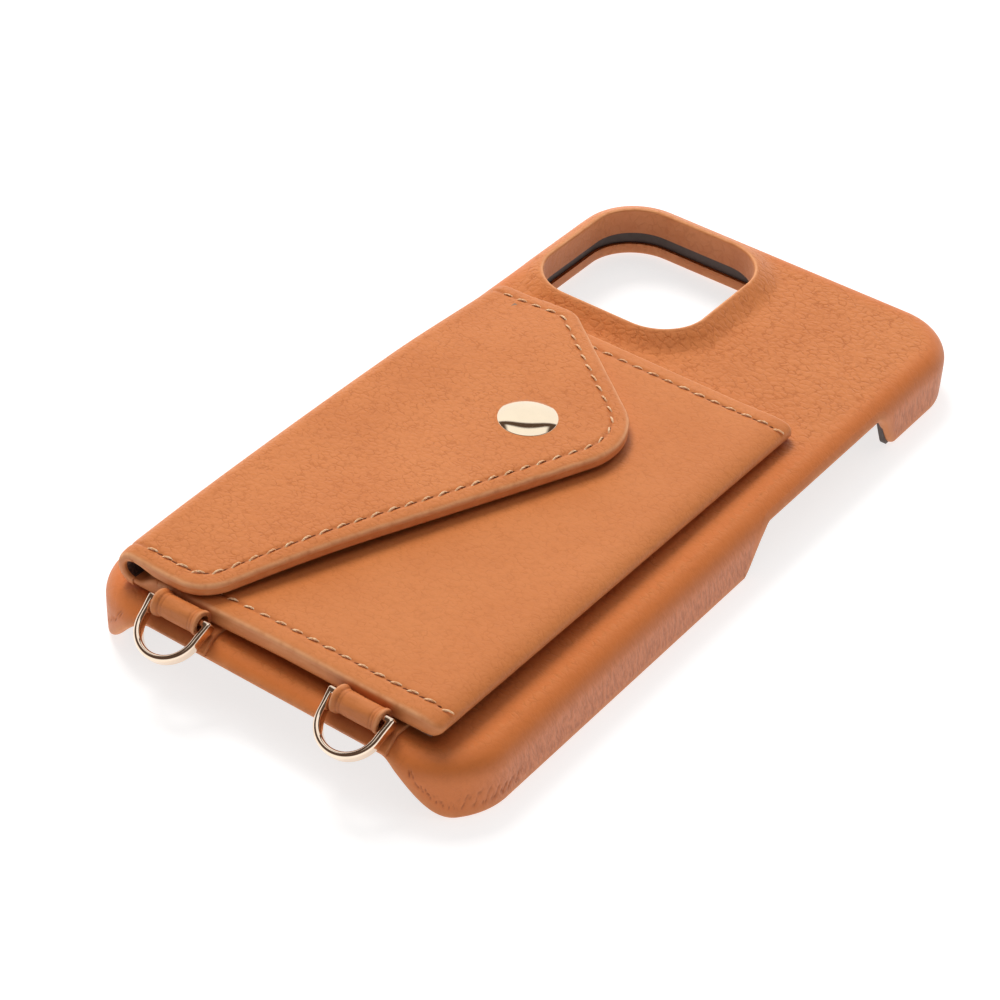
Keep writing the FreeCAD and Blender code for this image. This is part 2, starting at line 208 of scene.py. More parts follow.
def hexPoints(lo, hi, step):
    rows = []
    y = lo[1]
    odd = False
    while y < hi[1]:
        xs = np.arange(lo[0] + (step / 2 if odd else 0), hi[0], step)
        rows.append(columns(xs, y))
        y += step * 0.866
        odd = not odd
    return np.vstack(rows)


def grainOver(seed):
    # grain coordinates of a flat fill
    return lambda x, y: columns(x, y, seed)


def buildPiece(name, bag, materials, weld=0.004, sharp=55.0, body=None, replaced=()):
    co = np.vstack(bag["co"]) * mm
    mesh = bpy.data.meshes.new(name)
    mesh.from_pydata(co.tolist(), [], bag["faces"])
    data = mesh.attributes.new("grain", "FLOAT_VECTOR", "POINT")
    data.data.foreach_set("vector", np.vstack(bag["grain"]).ravel().astype(np.float32))
    for t in tones:
        data = mesh.attributes.new(t, "FLOAT", "POINT")
        data.data.foreach_set("value", np.concatenate(bag[t]).astype(np.float32))
    mesh.polygons.foreach_set("material_index", bag["slots"])
    work = bmesh.new()
    work.from_mesh(mesh)
    bmesh.ops.remove_doubles(work, verts=work.verts, dist=weld * mm)
    bmesh.ops.dissolve_degenerate(work, edges=work.edges, dist=weld * mm * 0.5)
    work.to_mesh(mesh)
    work.free()
    mesh.shade_smooth()
    mesh.set_sharp_from_angle(angle=math.radians(sharp))
    for m in materials:
        mesh.materials.append(m)
    obj = bpy.data.objects.new(name, mesh)
    bpy.context.scene.collection.objects.link(obj)
    if replaced:
        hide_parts(*replaced)
    if body:
        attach(obj, body)
    print(name, len(mesh.vertices), "points", len(mesh.polygons), "faces")
    return obj


def fixNormals(obj):
    # faces outwards
    work = bmesh.new()
    work.from_mesh(obj.data)
    bmesh.ops.recalc_face_normals(work, faces=work.faces)
    work.to_mesh(obj.data)
    work.free()
    obj.data.shade_smooth()
    obj.data.set_sharp_from_angle(angle=math.radians(70))
    return obj


# node helpers


class Nodes:
    # a short way to write a node tree

    def __init__(self, tree):
        self.tree = tree

    def add(self, kind, **settings):
        node = self.tree.nodes.new(kind)
        for key, value in settings.items():
            setattr(node, key, value)
        return node

    def link(self, a, b):
        self.tree.links.new(a, b)

    def put(self, value, socket):
        if isinstance(value, bpy.types.NodeSocket):
            self.link(value, socket)
        else:
            socket.default_value = value

    def math(self, operation, a, b=0.0, c=None, clamp=False):
        node = self.add("ShaderNodeMath", operation=operation, use_clamp=clamp)
        self.put(a, node.inputs[0])
        self.put(b, node.inputs[1])
        if c is not None:
            self.put(c, node.inputs[2])
        return node.outputs[0]

    def vector(self, operation, a, b=(0, 0, 0)):
        node = self.add("ShaderNodeVectorMath", operation=operation)
        self.put(a, node.inputs[0])
        self.put(b, node.inputs[1])
        return node.outputs[0]

    def noise(self, vector, scale, detail=2.0, roughness=0.5, distortion=0.0, color=False):
        node = self.add("ShaderNodeTexNoise")
        self.put(vector, node.inputs["Vector"])
        node.inputs["Scale"].default_value = scale
        node.inputs["Detail"].default_value = detail
        node.inputs["Roughness"].default_value = roughness
        node.inputs["Distortion"].default_value = distortion
        return node.outputs["Color" if color else "Fac"]

    def fromCellEdge(self, vector, scale):
        node = self.add("ShaderNodeTexVoronoi", feature="DISTANCE_TO_EDGE")
        self.put(vector, node.inputs["Vector"])
        node.inputs["Scale"].default_value = scale
        return node.outputs["Distance"]

    def ramp(self, value, low, high, toLow=0.0, toHigh=1.0):
        node = self.add("ShaderNodeMapRange", interpolation_type="SMOOTHSTEP")
        self.put(value, node.inputs["Value"])
        self.put(low, node.inputs["From Min"])
        self.put(high, node.inputs["From Max"])
        self.put(toLow, node.inputs["To Min"])
        self.put(toHigh, node.inputs["To Max"])
        return node.outputs[0]

    def mix(self, fac, a, b):
        node = self.add("ShaderNodeMix", data_type="RGBA")
        self.put(fac, node.inputs[0])
        self.put(a, node.inputs[6])
        self.put(b, node.inputs[7])
        return node.outputs[2]

    def mixValue(self, fac, a, b):
        node = self.add("ShaderNodeMix", data_type="FLOAT")
        self.put(fac, node.inputs[0])
        self.put(a, node.inputs[2])
        self.put(b, node.inputs[3])
        return node.outputs[0]

    def scaled(self, vector, factor):
        node = self.add("ShaderNodeVectorMath", operation="SCALE")
        self.put(vector, node.inputs[0])
        node.inputs[3].default_value = factor
        return node.outputs[0]

    def bump(self, shader, height, strength, depth):
        node = self.add("ShaderNodeBump")
        node.inputs["Strength"].default_value = strength
        node.inputs["Distance"].default_value = depth * mm
        self.put(height, node.inputs["Height"])
        self.put(node.outputs[0], shader.inputs["Normal"])

    def attribute(self, name, output="Fac"):
        node = self.add("ShaderNodeAttribute", attribute_name=name)
        return node.outputs[output]


def newMaterial(name, color, roughness, metallic=0.0):
    mat = bpy.data.materials.new(name)
    mat.use_nodes = True
    shader = mat.node_tree.nodes["Principled BSDF"]
    shader.inputs["Base Color"].default_value = (*color, 1)
    shader.inputs["Roughness"].default_value = roughness
    shader.inputs["Metallic"].default_value = metallic
    mat.diffuse_color = (*color, 1)
    return mat, Nodes(mat.node_tree), shader


leather = {
    "face": (0.615, 0.196, 0.050, 1),
    "light": (0.655, 0.220, 0.061, 1),
    "deep": (0.270, 0.060, 0.013, 1),
    "line": (0.385, 0.094, 0.018, 1),
    "calmTone": (0.650, 0.172, 0.034, 1),
    "edge": (0.600, 0.205, 0.065, 1),
    "edgeLight": (0.680, 0.265, 0.096, 1),
    # pale colour of a burnished edge, also used as a painted highlight
    "rub": (0.860, 0.430, 0.205, 1),
    "wallLow": (0.455, 0.132, 0.045, 1),
    "wallHigh": (0.655, 0.222, 0.094, 1),
    "stretch": (0.86, 1.14, 1.0),
    "cell": 0.52,
    "fineCell": 1.30,
    "warp": 0.6,
    "depth": 0.16,
    "roughness": 0.50,
}


def leatherMaterial(name, pebble=1.0, creases=1.0, finer=1.0, redder=0.0):
    # pebbled grain on the faces, smooth paint on cut edges, drawn cells on the walls
    mat, n, shader = newMaterial(name, leather["face"][:3], leather["roughness"])
    at = n.attribute("grain", "Vector")
    edge = n.attribute("edge")
    wall = n.attribute("wall")
    shade = n.attribute("shade")
    rub = n.attribute("rub")
    calm = n.attribute("calm")
    lively = n.math("SUBTRACT", 1.0, n.math("MULTIPLY", calm, 0.80))

    stretched = n.vector("MULTIPLY", at, leather["stretch"])
    wander = n.vector("SUBTRACT", n.noise(stretched, 0.80 * finer, 2.0, color=True), (0.5, 0.5, 0.5))
    warped = n.vector("ADD", stretched, n.scaled(wander, leather["warp"] * 2 / finer))
    broad = n.fromCellEdge(warped, leather["cell"] * finer)
    small = n.fromCellEdge(warped, leather["fineCell"] * finer)
    patch = n.ramp(n.noise(at, 0.30, 2.0), 0.36, 0.60)
    where = n.ramp(n.noise(at, 0.90, 2.0), 0.40, 0.58)
    dome = n.ramp(broad, 0.0, 0.34)
    smallDome = n.ramp(small, 0.0, 0.34)
    valley = n.math("SUBTRACT", 1.0, n.ramp(broad, 0.0, 0.15))
    reach = n.math("MULTIPLY", n.math("ADD", 0.35, n.math("MULTIPLY", patch, 0.65)), where)
    creaseDepth = n.math("ADD", 0.12 * creases, n.math("MULTIPLY", reach, 0.88 * creases))
    crease = n.math("MULTIPLY", valley, creaseDepth)
    crease = n.math("MULTIPLY", crease, lively)
    smallValley = n.math("MULTIPLY", n.math("SUBTRACT", 1.0, n.ramp(small, 0.0, 0.12)), where)
    pores = n.noise(at, 6.0, 3.0, 0.65)

    # the grain that is drawn out up a wall
    streak = n.attribute("streak", "Vector")
    drawn = n.noise(n.vector("MULTIPLY", streak, (1.55, 0.34, 1.0)), 1.0, 3.0, 0.55, 0.4)
    fineDrawn = n.noise(n.vector("MULTIPLY", streak, (3.6, 0.9, 1.0)), 1.0, 2.0, 0.5)
    drawnMix = n.math("ADD", n.math("MULTIPLY", drawn, 0.65), n.math("MULTIPLY", fineDrawn, 0.35))

    height = n.math("MULTIPLY", n.math("MULTIPLY", dome, lively), 0.34 * pebble / finer)
    height = n.math("ADD", height, n.math("MULTIPLY", smallDome, 0.07 * pebble / finer))
    height = n.math("SUBTRACT", height, n.math("MULTIPLY", crease, 0.20))
    height = n.math("ADD", height, n.math("MULTIPLY", pores, 0.025))
    height = n.math("ADD", height, n.math("MULTIPLY", n.noise(at, 0.35, 1.0), 0.45))
    height = n.mixValue(wall, height, n.math("MULTIPLY", drawnMix, 1.7))
    smooth = n.math("MULTIPLY", n.noise(at, 0.35, 2.0), 0.55)
    smooth = n.math("ADD", smooth, n.math("MULTIPLY", pores, 0.02))
    height = n.mixValue(edge, height, smooth)

    n.bump(shader, height, 1.0, leather["depth"])

    mottled = n.ramp(n.noise(at, 0.05, 3.0, 0.55), 0.30, 0.70)
    color = n.mix(mottled, leather["face"], leather["light"])
    cloud = n.ramp(n.noise(at, 0.55, 3.0), 0.42, 0.74)
    color = n.mix(n.math("MULTIPLY", cloud, 0.07), color, leather["deep"])
    # the smooth stretched parts get less grain and a more saturated tone, which is painted shade for their
    # lower light
    color = n.mix(n.math("MULTIPLY", calm, 0.70), color, leather["calmTone"])
    lines = n.math("MULTIPLY", crease, 0.50)
    lines = n.math("ADD", lines, n.math("MULTIPLY", smallValley, 0.08), clamp=True)
    color = n.mix(lines, color, leather["line"])
    wallTone = n.ramp(drawnMix, 0.36, 0.62)
    wallColor = n.mix(wallTone, leather["wallLow"], leather["wallHigh"])
    color = n.mix(n.math("MULTIPLY", wall, 0.90), color, wallColor)
    cut = n.mix(n.ramp(n.noise(at, 0.30, 3.0, 0.6), 0.35, 0.68), leather["edge"], leather["edgeLight"])
    color = n.mix(n.math("MULTIPLY", edge, 0.9), color, cut)
    # a pale line on the edges' tops: partly burnished rub, partly painted highlight
    rubHighlightNoise = n.ramp(n.noise(at, 0.7, 3.0, 0.6), 0.25, 0.60)
    rubbedHighlight = n.math("MULTIPLY", rub, n.math("ADD", 0.40, n.math("MULTIPLY", rubHighlightNoise, 0.55)))
    color = n.mix(rubbedHighlight, color, leather["rub"])
    color = n.mix(n.math("MULTIPLY", shade, 0.75), color, leather["deep"])
    if redder:
        color = n.mix(redder, color, leather["wallLow"])
    n.put(color, shader.inputs["Base Color"])

    rough = n.ramp(pores, 0.3, 0.7, leather["roughness"] - 0.07, leather["roughness"] + 0.08)
    rough = n.math("ADD", rough, n.math("MULTIPLY", crease, 0.15))
    n.put(n.mixValue(edge, rough, 0.52), shader.inputs["Roughness"])
    shader.inputs["Specular IOR Level"].default_value = 0.40
    shader.inputs["Sheen Weight"].default_value = 0.05
    shader.inputs["Sheen Roughness"].default_value = 0.5
    shader.inputs["Sheen Tint"].default_value = (1.0, 0.86, 0.74, 1)
    return mat


def suedeMaterial(name, dark, light):
    mat, n, shader = newMaterial(name, dark[:3], 0.95)
    coords = n.add("ShaderNodeTexCoord").outputs["Object"]
    nap = n.noise(coords, 2600.0, 4.0, 0.7)
    patch = n.noise(coords, 240.0, 3.0, 0.6)
    level = n.math("ADD", n.math("MULTIPLY", nap, 0.6), n.math("MULTIPLY", patch, 0.4))
    color = n.mix(n.ramp(level, 0.38, 0.66), dark, light)
    n.put(color, shader.inputs["Base Color"])
    n.bump(shader, nap, 0.7, 0.12)
    shader.inputs["Sheen Weight"].default_value = 0.35
    return mat


def metalMaterial(name, color, roughness):
    mat, n, shader = newMaterial(name, color, roughness, 1.0)
    coords = n.add("ShaderNodeTexCoord").outputs["Object"]
    fine = n.noise(coords, 3200.0, 3.0, 0.6)
    n.put(n.ramp(fine, 0.3, 0.7, roughness * 0.8, roughness * 1.25), shader.inputs["Roughness"])
    slow = n.noise(coords, 190.0, 2.0)
    darker = (*[c * 0.96 for c in color], 1)
    n.put(n.mix(n.ramp(slow, 0.35, 0.65), (*color, 1), darker), shader.inputs["Base Color"])
    n.bump(shader, fine, 0.05, 0.02)
    return mat


def mouldedMaterial(name, color, roughness):
    mat, n, shader = newMaterial(name, color, roughness)
    coords = n.add("ShaderNodeTexCoord").outputs["Object"]
    fine = n.noise(coords, 900.0, 3.0, 0.6)
    slow = n.noise(coords, 60.0, 2.0)
    darker = (*[c * 0.8 for c in color], 1)
    n.put(n.mix(n.ramp(slow, 0.3, 0.7), (*color, 1), darker), shader.inputs["Base Color"])
    n.put(n.ramp(fine, 0.3, 0.7, roughness - 0.06, roughness + 0.06), shader.inputs["Roughness"])
    n.bump(shader, fine, 0.35, 0.05)
    return mat


def threadMaterial(name):
    mat, n, shader = newMaterial(name, (0.90, 0.62, 0.38), 0.5)
    coords = n.add("ShaderNodeTexCoord").outputs["Object"]
    fibre = n.noise(coords, 1800.0, 2.0, 0.5)
    color = n.mix(n.ramp(fibre, 0.3, 0.7), (0.80, 0.44, 0.21, 1), (0.95, 0.70, 0.45, 1))
    n.put(color, shader.inputs["Base Color"])
    n.put(n.ramp(fibre, 0.3, 0.7, 0.32, 0.46), shader.inputs["Roughness"])
    n.bump(shader, fibre, 0.3, 0.01)
    shader.inputs["Specular IOR Level"].default_value = 0.3
    return mat


leatherCase = leatherMaterial("caseLeather", 1.25, 0.95, 1.40)
leatherPouch = leatherMaterial("pouchLeather", 0.50, 0.40, 1.70)
leatherFlap = leatherMaterial("flapLeather", 0.85, 0.72, 1.70)
leatherStrap = leatherMaterial("strapLeather", 0.35, 0.3, 1.6, 0.12)
leatherInside = leatherMaterial("insideLeather", 0.3, 0.2, 1.6)
darkSuede = suedeMaterial("darkSuede", (0.045, 0.016, 0.009, 1), (0.20, 0.085, 0.045, 1))
microfibre = suedeMaterial("microfibre", (0.16, 0.065, 0.032, 1), (0.26, 0.125, 0.070, 1))
paleGold = metalMaterial("paleGold", (0.96, 0.81, 0.61), 0.050)
roseGold = metalMaterial("roseGold", (0.94, 0.76, 0.60), 0.085)
steel = metalMaterial("springSteel", (0.62, 0.62, 0.62), 0.25)
trayPlastic = mouldedMaterial("trayPlastic", (0.060, 0.032, 0.022), 0.48)
adhesive = mouldedMaterial("adhesive", (0.085, 0.038, 0.020), 0.7)
board = mouldedMaterial("board", (0.30, 0.22, 0.16), 0.8)
threadLook = threadMaterial("thread")
# dark colour painted as the shade inside the needle holes
holeShadeLook, _, _ = newMaterial("needleHoleShade", (0.150, 0.040, 0.014), 0.9)
print("materials done")

# the leather cover

cover = {
    "skin": 0.42,
    "step": 0.45,
    "fineStep": 0.24,
    "wallRows": 24,
    "bulge": 0.12,
    "seed": 3.0,
    "edgeRound": 0.75,
    "portTop": 8.8,
    "portStart": 22.6,
    "portEnd": 35.6,
    "portPower": 0.9,
    "sideTop": 8.15,
    "rightLow": (2.6, 9.6),
    "rightHigh": (44.0, 51.0),
    "leftLow": (10.2, 15.6),
    "leftHigh": (34.4, 39.8),
    "rimTop": 2.4,
    "rimWide": 5.4,
    "rimRound": 0.55,
    "windowCorner": 9.0,
}
window = {
    "centre": np.array([-16.0, 52.3]),
    "half": 16.2,
    "corner": cover["windowCorner"],
}
# the run up the wall: the straight part, and all of it to the end of the rounding
wallStraight = case["back"] - case["fillet"]
wallWhole = wallStraight + case["fillet"] * math.pi / 2


def loopAt(lengths, halfX, halfY, corner):
    # points of the arc centres' outline and outward directions, for distances round the outside
    a = 2 * (halfX - corner)
    b = 2 * (halfY - corner)
    q = corner * math.pi / 2
    total = 2 * a + 2 * b + 4 * q
    lengths = np.mod(lengths, total)
    base = np.zeros((len(lengths), 2))
    out = np.zeros((len(lengths), 2))
    cx, cy = halfX - corner, halfY - corner
    parts = [
        (a / 2, (0, -cy), (1, 0), (0, -1)),
        (q, (cx, -cy), None, -90),
        (b, (cx, -cy), (0, 1), (1, 0)),
        (q, (cx, cy), None, 0),
        (a, (cx, cy), (-1, 0), (0, 1)),
        (q, (-cx, cy), None, 90),
        (b, (-cx, cy), (0, -1), (-1, 0)),
        (q, (-cx, -cy), None, 180),
        (a / 2 + 1e-6, (-cx, -cy), (1, 0), (0, -1)),
    ]
    start = 0.0
    for run, origin, along, facing in parts:
        here = (lengths >= start - 1e-9) & (lengths <= start + run)
        t = lengths[here] - start
        if along is not None:
            base[here] = np.array(origin) + np.outer(t, along)
            out[here] = facing
        else:
            angle = math.radians(facing) + t / corner
            base[here] = origin
            out[here] = np.column_stack([np.cos(angle), np.sin(angle)])
        start += run
    return base, out, total


def cutLevel(length, total):
    # height of the wall's lower edge at a distance from the middle of the bottom end
    q = case["corner"] * math.pi / 2
    half = case["halfX"] - case["corner"]
    length = np.mod(length, total)
    fromMiddle = np.minimum(length, total - length)
    t = np.clip((fromMiddle - cover["portStart"]) / (cover["portEnd"] - cover["portStart"]), 0, 1)
    level = cover["portTop"] * (0.5 + 0.5 * np.cos(math.pi * t ** cover["portPower"]))
    rightY = length - half - q - (case["halfY"] - case["corner"])
    leftY = (total - length) - half - q - (case["halfY"] - case["corner"])
    long = case["halfY"] - case["corner"]

    def notch(y, low, high, top, power):
        rise = np.clip((y - low[0]) / (low[1] - low[0]), 0, 1) ** power
        fall = np.clip((high[1] - y) / (high[1] - high[0]), 0, 1)
        return top * (0.5 - 0.5 * np.cos(math.pi * rise)) * (0.5 - 0.5 * np.cos(math.pi * fall))

    onRight = (length > half + q) & (length < half + q + 2 * long)
    onLeft = (total - length > half + q) & (total - length < half + q + 2 * long)
    sides = (
        (onRight, rightY, cover["rightLow"], cover["rightHigh"], 0.78),
        (onLeft, leftY, cover["leftLow"], cover["leftHigh"], 1.0),
    )
    for there, y, low, high, power in sides:
        cut = notch(y, low, high, cover["sideTop"], power)
        level = np.where(there, np.maximum(level, cut), level)
    return level


def windowDistance(x, y):
    # distance outwards from the window's edge
    dx = np.abs(x - window["centre"][0]) - (window["half"] - window["corner"])
    dy = np.abs(y - window["centre"][1]) - (window["half"] - window["corner"])
    outside = np.hypot(np.maximum(dx, 0), np.maximum(dy, 0))
    return outside + np.minimum(np.maximum(dx, dy), 0) - window["corner"]


def rimHeight(x, y):
    d = np.clip(windowDistance(x, y), 0, None)
    t = np.clip(d / cover["rimWide"], 0, 1)
    return cover["rimTop"] * (1 - smoothstep(t ** 0.85))


def backLevel(x, y):
    return case["back"] + rimHeight(x, y)


def wrinkle(s, run, fromEdge, total):
    # depth of the drag wrinkles at the port cut-out's two ends and round the corners' feet
    q = case["corner"] * math.pi / 2
    half = case["halfX"] - case["corner"]
    length = np.mod(s, total)
    fromMiddle = np.minimum(length, total - length)
    jitter = 0.35 * np.sin(fromMiddle * 3.1) + 0.25 * np.sin(fromMiddle * 7.3 + 1.0)
    # short ones across the cut edge
    ridge = np.abs(np.sin(math.pi * (fromMiddle + 0.55 * fromEdge + jitter * 0.5) / 1.05))
    line = 1 - smoothstep(ridge / 0.55)
    inside = smoothstep((fromMiddle - 27.0) / 1.5) * (1 - smoothstep((fromMiddle - 34.0) / 2.5))
    near = smoothstep((fromEdge - 0.5) / 0.4) * (1 - smoothstep((fromEdge - 2.3) / (1.3 + jitter)))
    first = line * inside * near
    # longer leaning ones where the leather is gathered round the foot
    lean = fromMiddle - 0.55 * run + jitter * 0.8
    ridge = np.abs(np.sin(math.pi * lean / 1.75))
    line = 1 - smoothstep(ridge / 0.50)
    corner = smoothstep((fromMiddle - 35.0) / 2.0) * (1 - smoothstep((fromMiddle - (half + q + 1.0)) / 6.0))
    near = smoothstep((run - 0.6) / 0.6) * (1 - smoothstep((run - 3.4) / (2.6 + 1.5 * jitter)))
    second = line * corner * near
    return 0.24 * first + 0.24 * second, np.clip(first + second, 0, 1)


def coverStations(total):
    # distances round the outside, closer together where the edge climbs and at the bottom corners
    lengths = [0.0]
    while lengths[-1] < total - 0.3:
        here = lengths[-1]
        change = abs(cutLevel(np.array([here + 0.3]), total)[0] - cutLevel(np.array([here]), total)[0])
        fromMiddle = min(here, total - here)
        fine = change > 0.02 or 24.0 < fromMiddle < 56.0
        lengths.append(here + (cover["fineStep"] if fine else cover["step"]))
    return np.array(lengths[:-1] if total - lengths[-1] < 0.15 else lengths)


def wallPoints(s, run):
    # points of the outside, from the distance round it and the run up the wall
    base, out, _ = loopAt(s, case["halfX"], case["halfY"], case["corner"])
    angle = np.clip((run - wallStraight) / case["fillet"], 0, math.pi / 2)
    inset = np.where(run > wallStraight, case["fillet"] * (1 - np.cos(angle)), 0)
    z = np.where(run > wallStraight, wallStraight + case["fillet"] * np.sin(angle), run)
    bulge = cover["bulge"] * np.sin(np.clip(run / wallWhole, 0, 1) * math.pi)
    xy = base + out * (case["corner"] - inset + bulge)[:, None]
    inward = np.column_stack([-out * np.cos(angle)[:, None], -np.sin(angle)])
    return np.column_stack([xy, z]), inward, base, out


def unrolled(base, out, run):
    # grain coordinates: the back's own plane carried on down the wall
    reach = case["corner"] + (wallStraight - run) + case["fillet"] * (math.pi / 2 - 1)
    return np.column_stack([base + out * reach[:, None], np.full(len(run), cover["seed"])])


def raiseRim(points, run):
    # the rim's outer slope reaches a little way down the wall beside it
    share = smoothstep((run - wallStraight * 0.6) / (wallWhole - wallStraight * 0.6))
    points[:, 2] += rimHeight(points[:, 0], points[:, 1]) * share


def coverWall(bag, lengths, level, total):
    # the wall from inside its turned edge up to the back, then the leather's hidden underside
    slope = np.gradient(level, lengths)
    # direction in the wall's surface that points away from the edge
    across = -slope / np.hypot(1, slope)
    upward = 1 / np.hypot(1, slope)
    r = cover["edgeRound"]
    rows = Rows()
    turn = case["wall"] + 0.02 + 0.6 * (1 - smoothstep(level / 1.5))
    runEdge = level.copy()
    over = runEdge > wallStraight
    rounded = np.arcsin(np.clip((level[over] - wallStraight) / case["fillet"], 0, 1))
    runEdge[over] = wallStraight + case["fillet"] * rounded

    def addRow(n, depth, edgeTone, wallTone):
        # n is the distance from the edge in the surface, depth the distance under the outside
        run = runEdge + upward * n
        p, inward, base, out = wallPoints(lengths + across * n, run)
        p = p + inward * np.reshape(depth, (-1, 1))
        rows.add(p, unrolled(base, out, run), edge=edgeTone, wall=wallTone, shade=0.0, calm=1.0)

    addRow(r + 1.6, turn, 0.6, 0)
    addRow(r + 0.6, turn, 0.9, 0)
    for k in range(11):
        phi = math.pi * (1 - k / 10)
        depth = turn / 2 * (1 - math.cos(phi))
        addRow(r * (1 - math.sin(phi) ** 0.75), depth, 1.0 if k < 9 else 0.75, 0)
    # cells are drawn out past the bottom end, and less over the cut-outs
    past = smoothstep((np.minimum(lengths, total - lengths) - 36.0) / 12.0)
    beside = 1 - 0.75 * smoothstep((level - 2.5) / 3.0)
    edgeRows = 4
    for k in range(1, edgeRows + 1):
        n = r + 0.28 * k
        addRow(n, 0.0, 0.6 * (1 - k / edgeRows), (0.1 + 0.225 * k) * beside * past)
    lastRun = runEdge + upward * n
    lastS = lengths + across * n
    for u in np.arange(1, cover["wallRows"] - edgeRows + 1) / (cover["wallRows"] - edgeRows):
        run = lastRun + (wallWhole - lastRun) * u
        s = lastS + (lengths - lastS) * smoothstep(u)
        p, inward, base, out = wallPoints(s, run)
        depth, dark = wrinkle(s, run, run - runEdge, total)
        p = p + inward * depth[:, None]
        raiseRim(p, run)
        drawn = 1 - smoothstep((run - wallStraight * 0.72) / (wallWhole * 0.80 - wallStraight * 0.72))
        rows.add(
            p, unrolled(base, out, run), edge=0.0, wall=drawn * past * beside, shade=dark,
            calm=smoothstep((wallWhole + 1.2 - run) / 3.0),
        )
    co = rows.build(bag, closeCols=True)

    under = [co[0]]
    first = r + 1.6
    for u in np.linspace(0, 1, 12):
        run = (runEdge + upward * first) * (1 - u) + wallWhole * u
        p, inward, _, _ = wallPoints(lengths + across * first * (1 - smoothstep(u)), run)
        p = p + inward * cover["skin"]
        raiseRim(p, run)
        under.append(p)
    addGrid(bag, np.array(under), np.array(under), closeCols=True, flip=True)
    return co[-1][:, :2], under[-1][:, :2]


def coverRim(bag):
    # the window's rim: crest, rounding, then the leather down its inside
    wHalf, wCorner = window["half"], window["corner"]
    _, _, total = loopAt(np.array([0.0]), wHalf, wHalf, wCorner)
    base, out, _ = loopAt(np.linspace(0, total, 200, endpoint=False), wHalf, wHalf, wCorner)
    base = base + window["centre"]
    r = cover["rimRound"]
    top = case["back"] + cover["rimTop"]
    low = boxMm("shell_lining")[0][2]
    crest = []
    for offset in (1.75, 1.45, 1.15, 0.85):
        crest.append((offset, None, 0.35 * (1 - (offset - r) / 1.3), 0.0, 0.0))
    for k in range(9):
        phi = math.pi / 2 * k / 8
        # a pale line painted along the crest: burnished rub and painted highlight
        rub = 0.75 * math.exp(-(((k - 2.5) / 2.2) ** 2))
        crest.append((r * (1 - math.sin(phi)), -r * (1 - math.cos(phi)), 0.45 + 0.06 * k, 0.0, rub))
    for t in (0.92, 0.8, 0.65, 0.5, 0.35, 0.2, 0.08, 0.0):
        sink = 0.10 * math.sin(math.pi * t)
        crest.append((sink, low - top + r + (top - r - low) * t - r, 0.5, 0.50 - 0.46 * t, 0.0))
    crest.append((0.5, low - top, 0.5, 0.5, 0.0))
    rows = Rows()
    for offset, drop, edge, shade, rub in crest:
        xy = base + out * (wCorner + offset)
        z = backLevel(xy[:, 0], xy[:, 1]) if drop is None else np.full(len(xy), top + drop)
        if drop is not None and drop > -r * 1.01 and edge < 0.99:
            slopeEnd = backLevel(*(base + out * (wCorner + r)).T)
            z = slopeEnd + (top - slopeEnd) * min(1.0, -drop / r) + drop
        grain = np.column_stack([xy, cover["seed"] + (top - z) * 0.8])
        rows.add(np.column_stack([xy, z]), grain, edge=edge, shade=shade, rub=rub)
    backHole = base + out * (wCorner + 0.5)
    hidden = np.column_stack([backHole, backLevel(*backHole.T) - cover["skin"]])
    rows.add(hidden, rows.grain[-1], **rows.tone[-1])
    return rows.build(bag, closeCols=True)[0][:, :2], backHole


def fromOutside(x, y):
    # distance in from the case's outline
    dx = np.abs(x) - (case["halfX"] - case["corner"])
    dy = np.abs(y) - (case["halfY"] - case["corner"])
    beyond = np.hypot(np.maximum(dx, 0), np.maximum(dy, 0))
    return case["corner"] - (beyond + np.minimum(np.maximum(dx, dy), 0))


def backCalmAndShade(x, y):
    # the leather is stretched smooth towards the rounded sides, most of all beside the pouch; the same mask
    # lays a more saturated painted shade tone there
    low = 1 - smoothstep((y - 18.0) / 14.0)
    near = 1 - smoothstep((fromOutside(x, y) - 3.0) / (2.5 + 6.0 * low))
    return np.clip(near * (0.55 + 0.45 * low), 0, 1)


def underPouch(p):
    # well inside the pouch's outline, where the back can't be seen
    x, y = p.T
    return (x > pouchLo[0] + 4) & (x < pouchHi[0] - 3) & (y > pouchLo[1] + 4) & (y < pouchHi[1] - 3)


def clearOf(p, side, rim):
    return p[(fromOutside(*p.T) > case["fillet"] + side) & (windowDistance(*p.T) > rim)]


def buildCover():
    bag = newBag()
    _, _, total = loopAt(np.array([0.0]), case["halfX"], case["halfY"], case["corner"])
    lengths = coverStations(total)
    inner, underLoop = coverWall(bag, lengths, cutLevel(lengths, total), total)
    hole, backHole = coverRim(bag)
    fine = hexPoints(inner.min(0), inner.max(0), 0.75)
    coarse = hexPoints(inner.min(0), inner.max(0), 3.0)
    points = clearOf(np.vstack([fine[~underPouch(fine)], coarse[underPouch(coarse)]]), 0.35, 1.75 + 0.3)
    addFill(bag, inner, [hole], points, backLevel, grainOver(cover["seed"]), calm=backCalmAndShade)
    points = clearOf(hexPoints(underLoop.min(0), underLoop.max(0), 3.2), 0.8, 0.5 + 0.6)
    addFill(bag, underLoop, [backHole], points, lambda x, y: backLevel(x, y) - cover["skin"], flip=True)
    addStreak(buildPiece(
        "leatherCover", bag, [leatherCase], body="case", replaced=("leather_cover",),
    ))


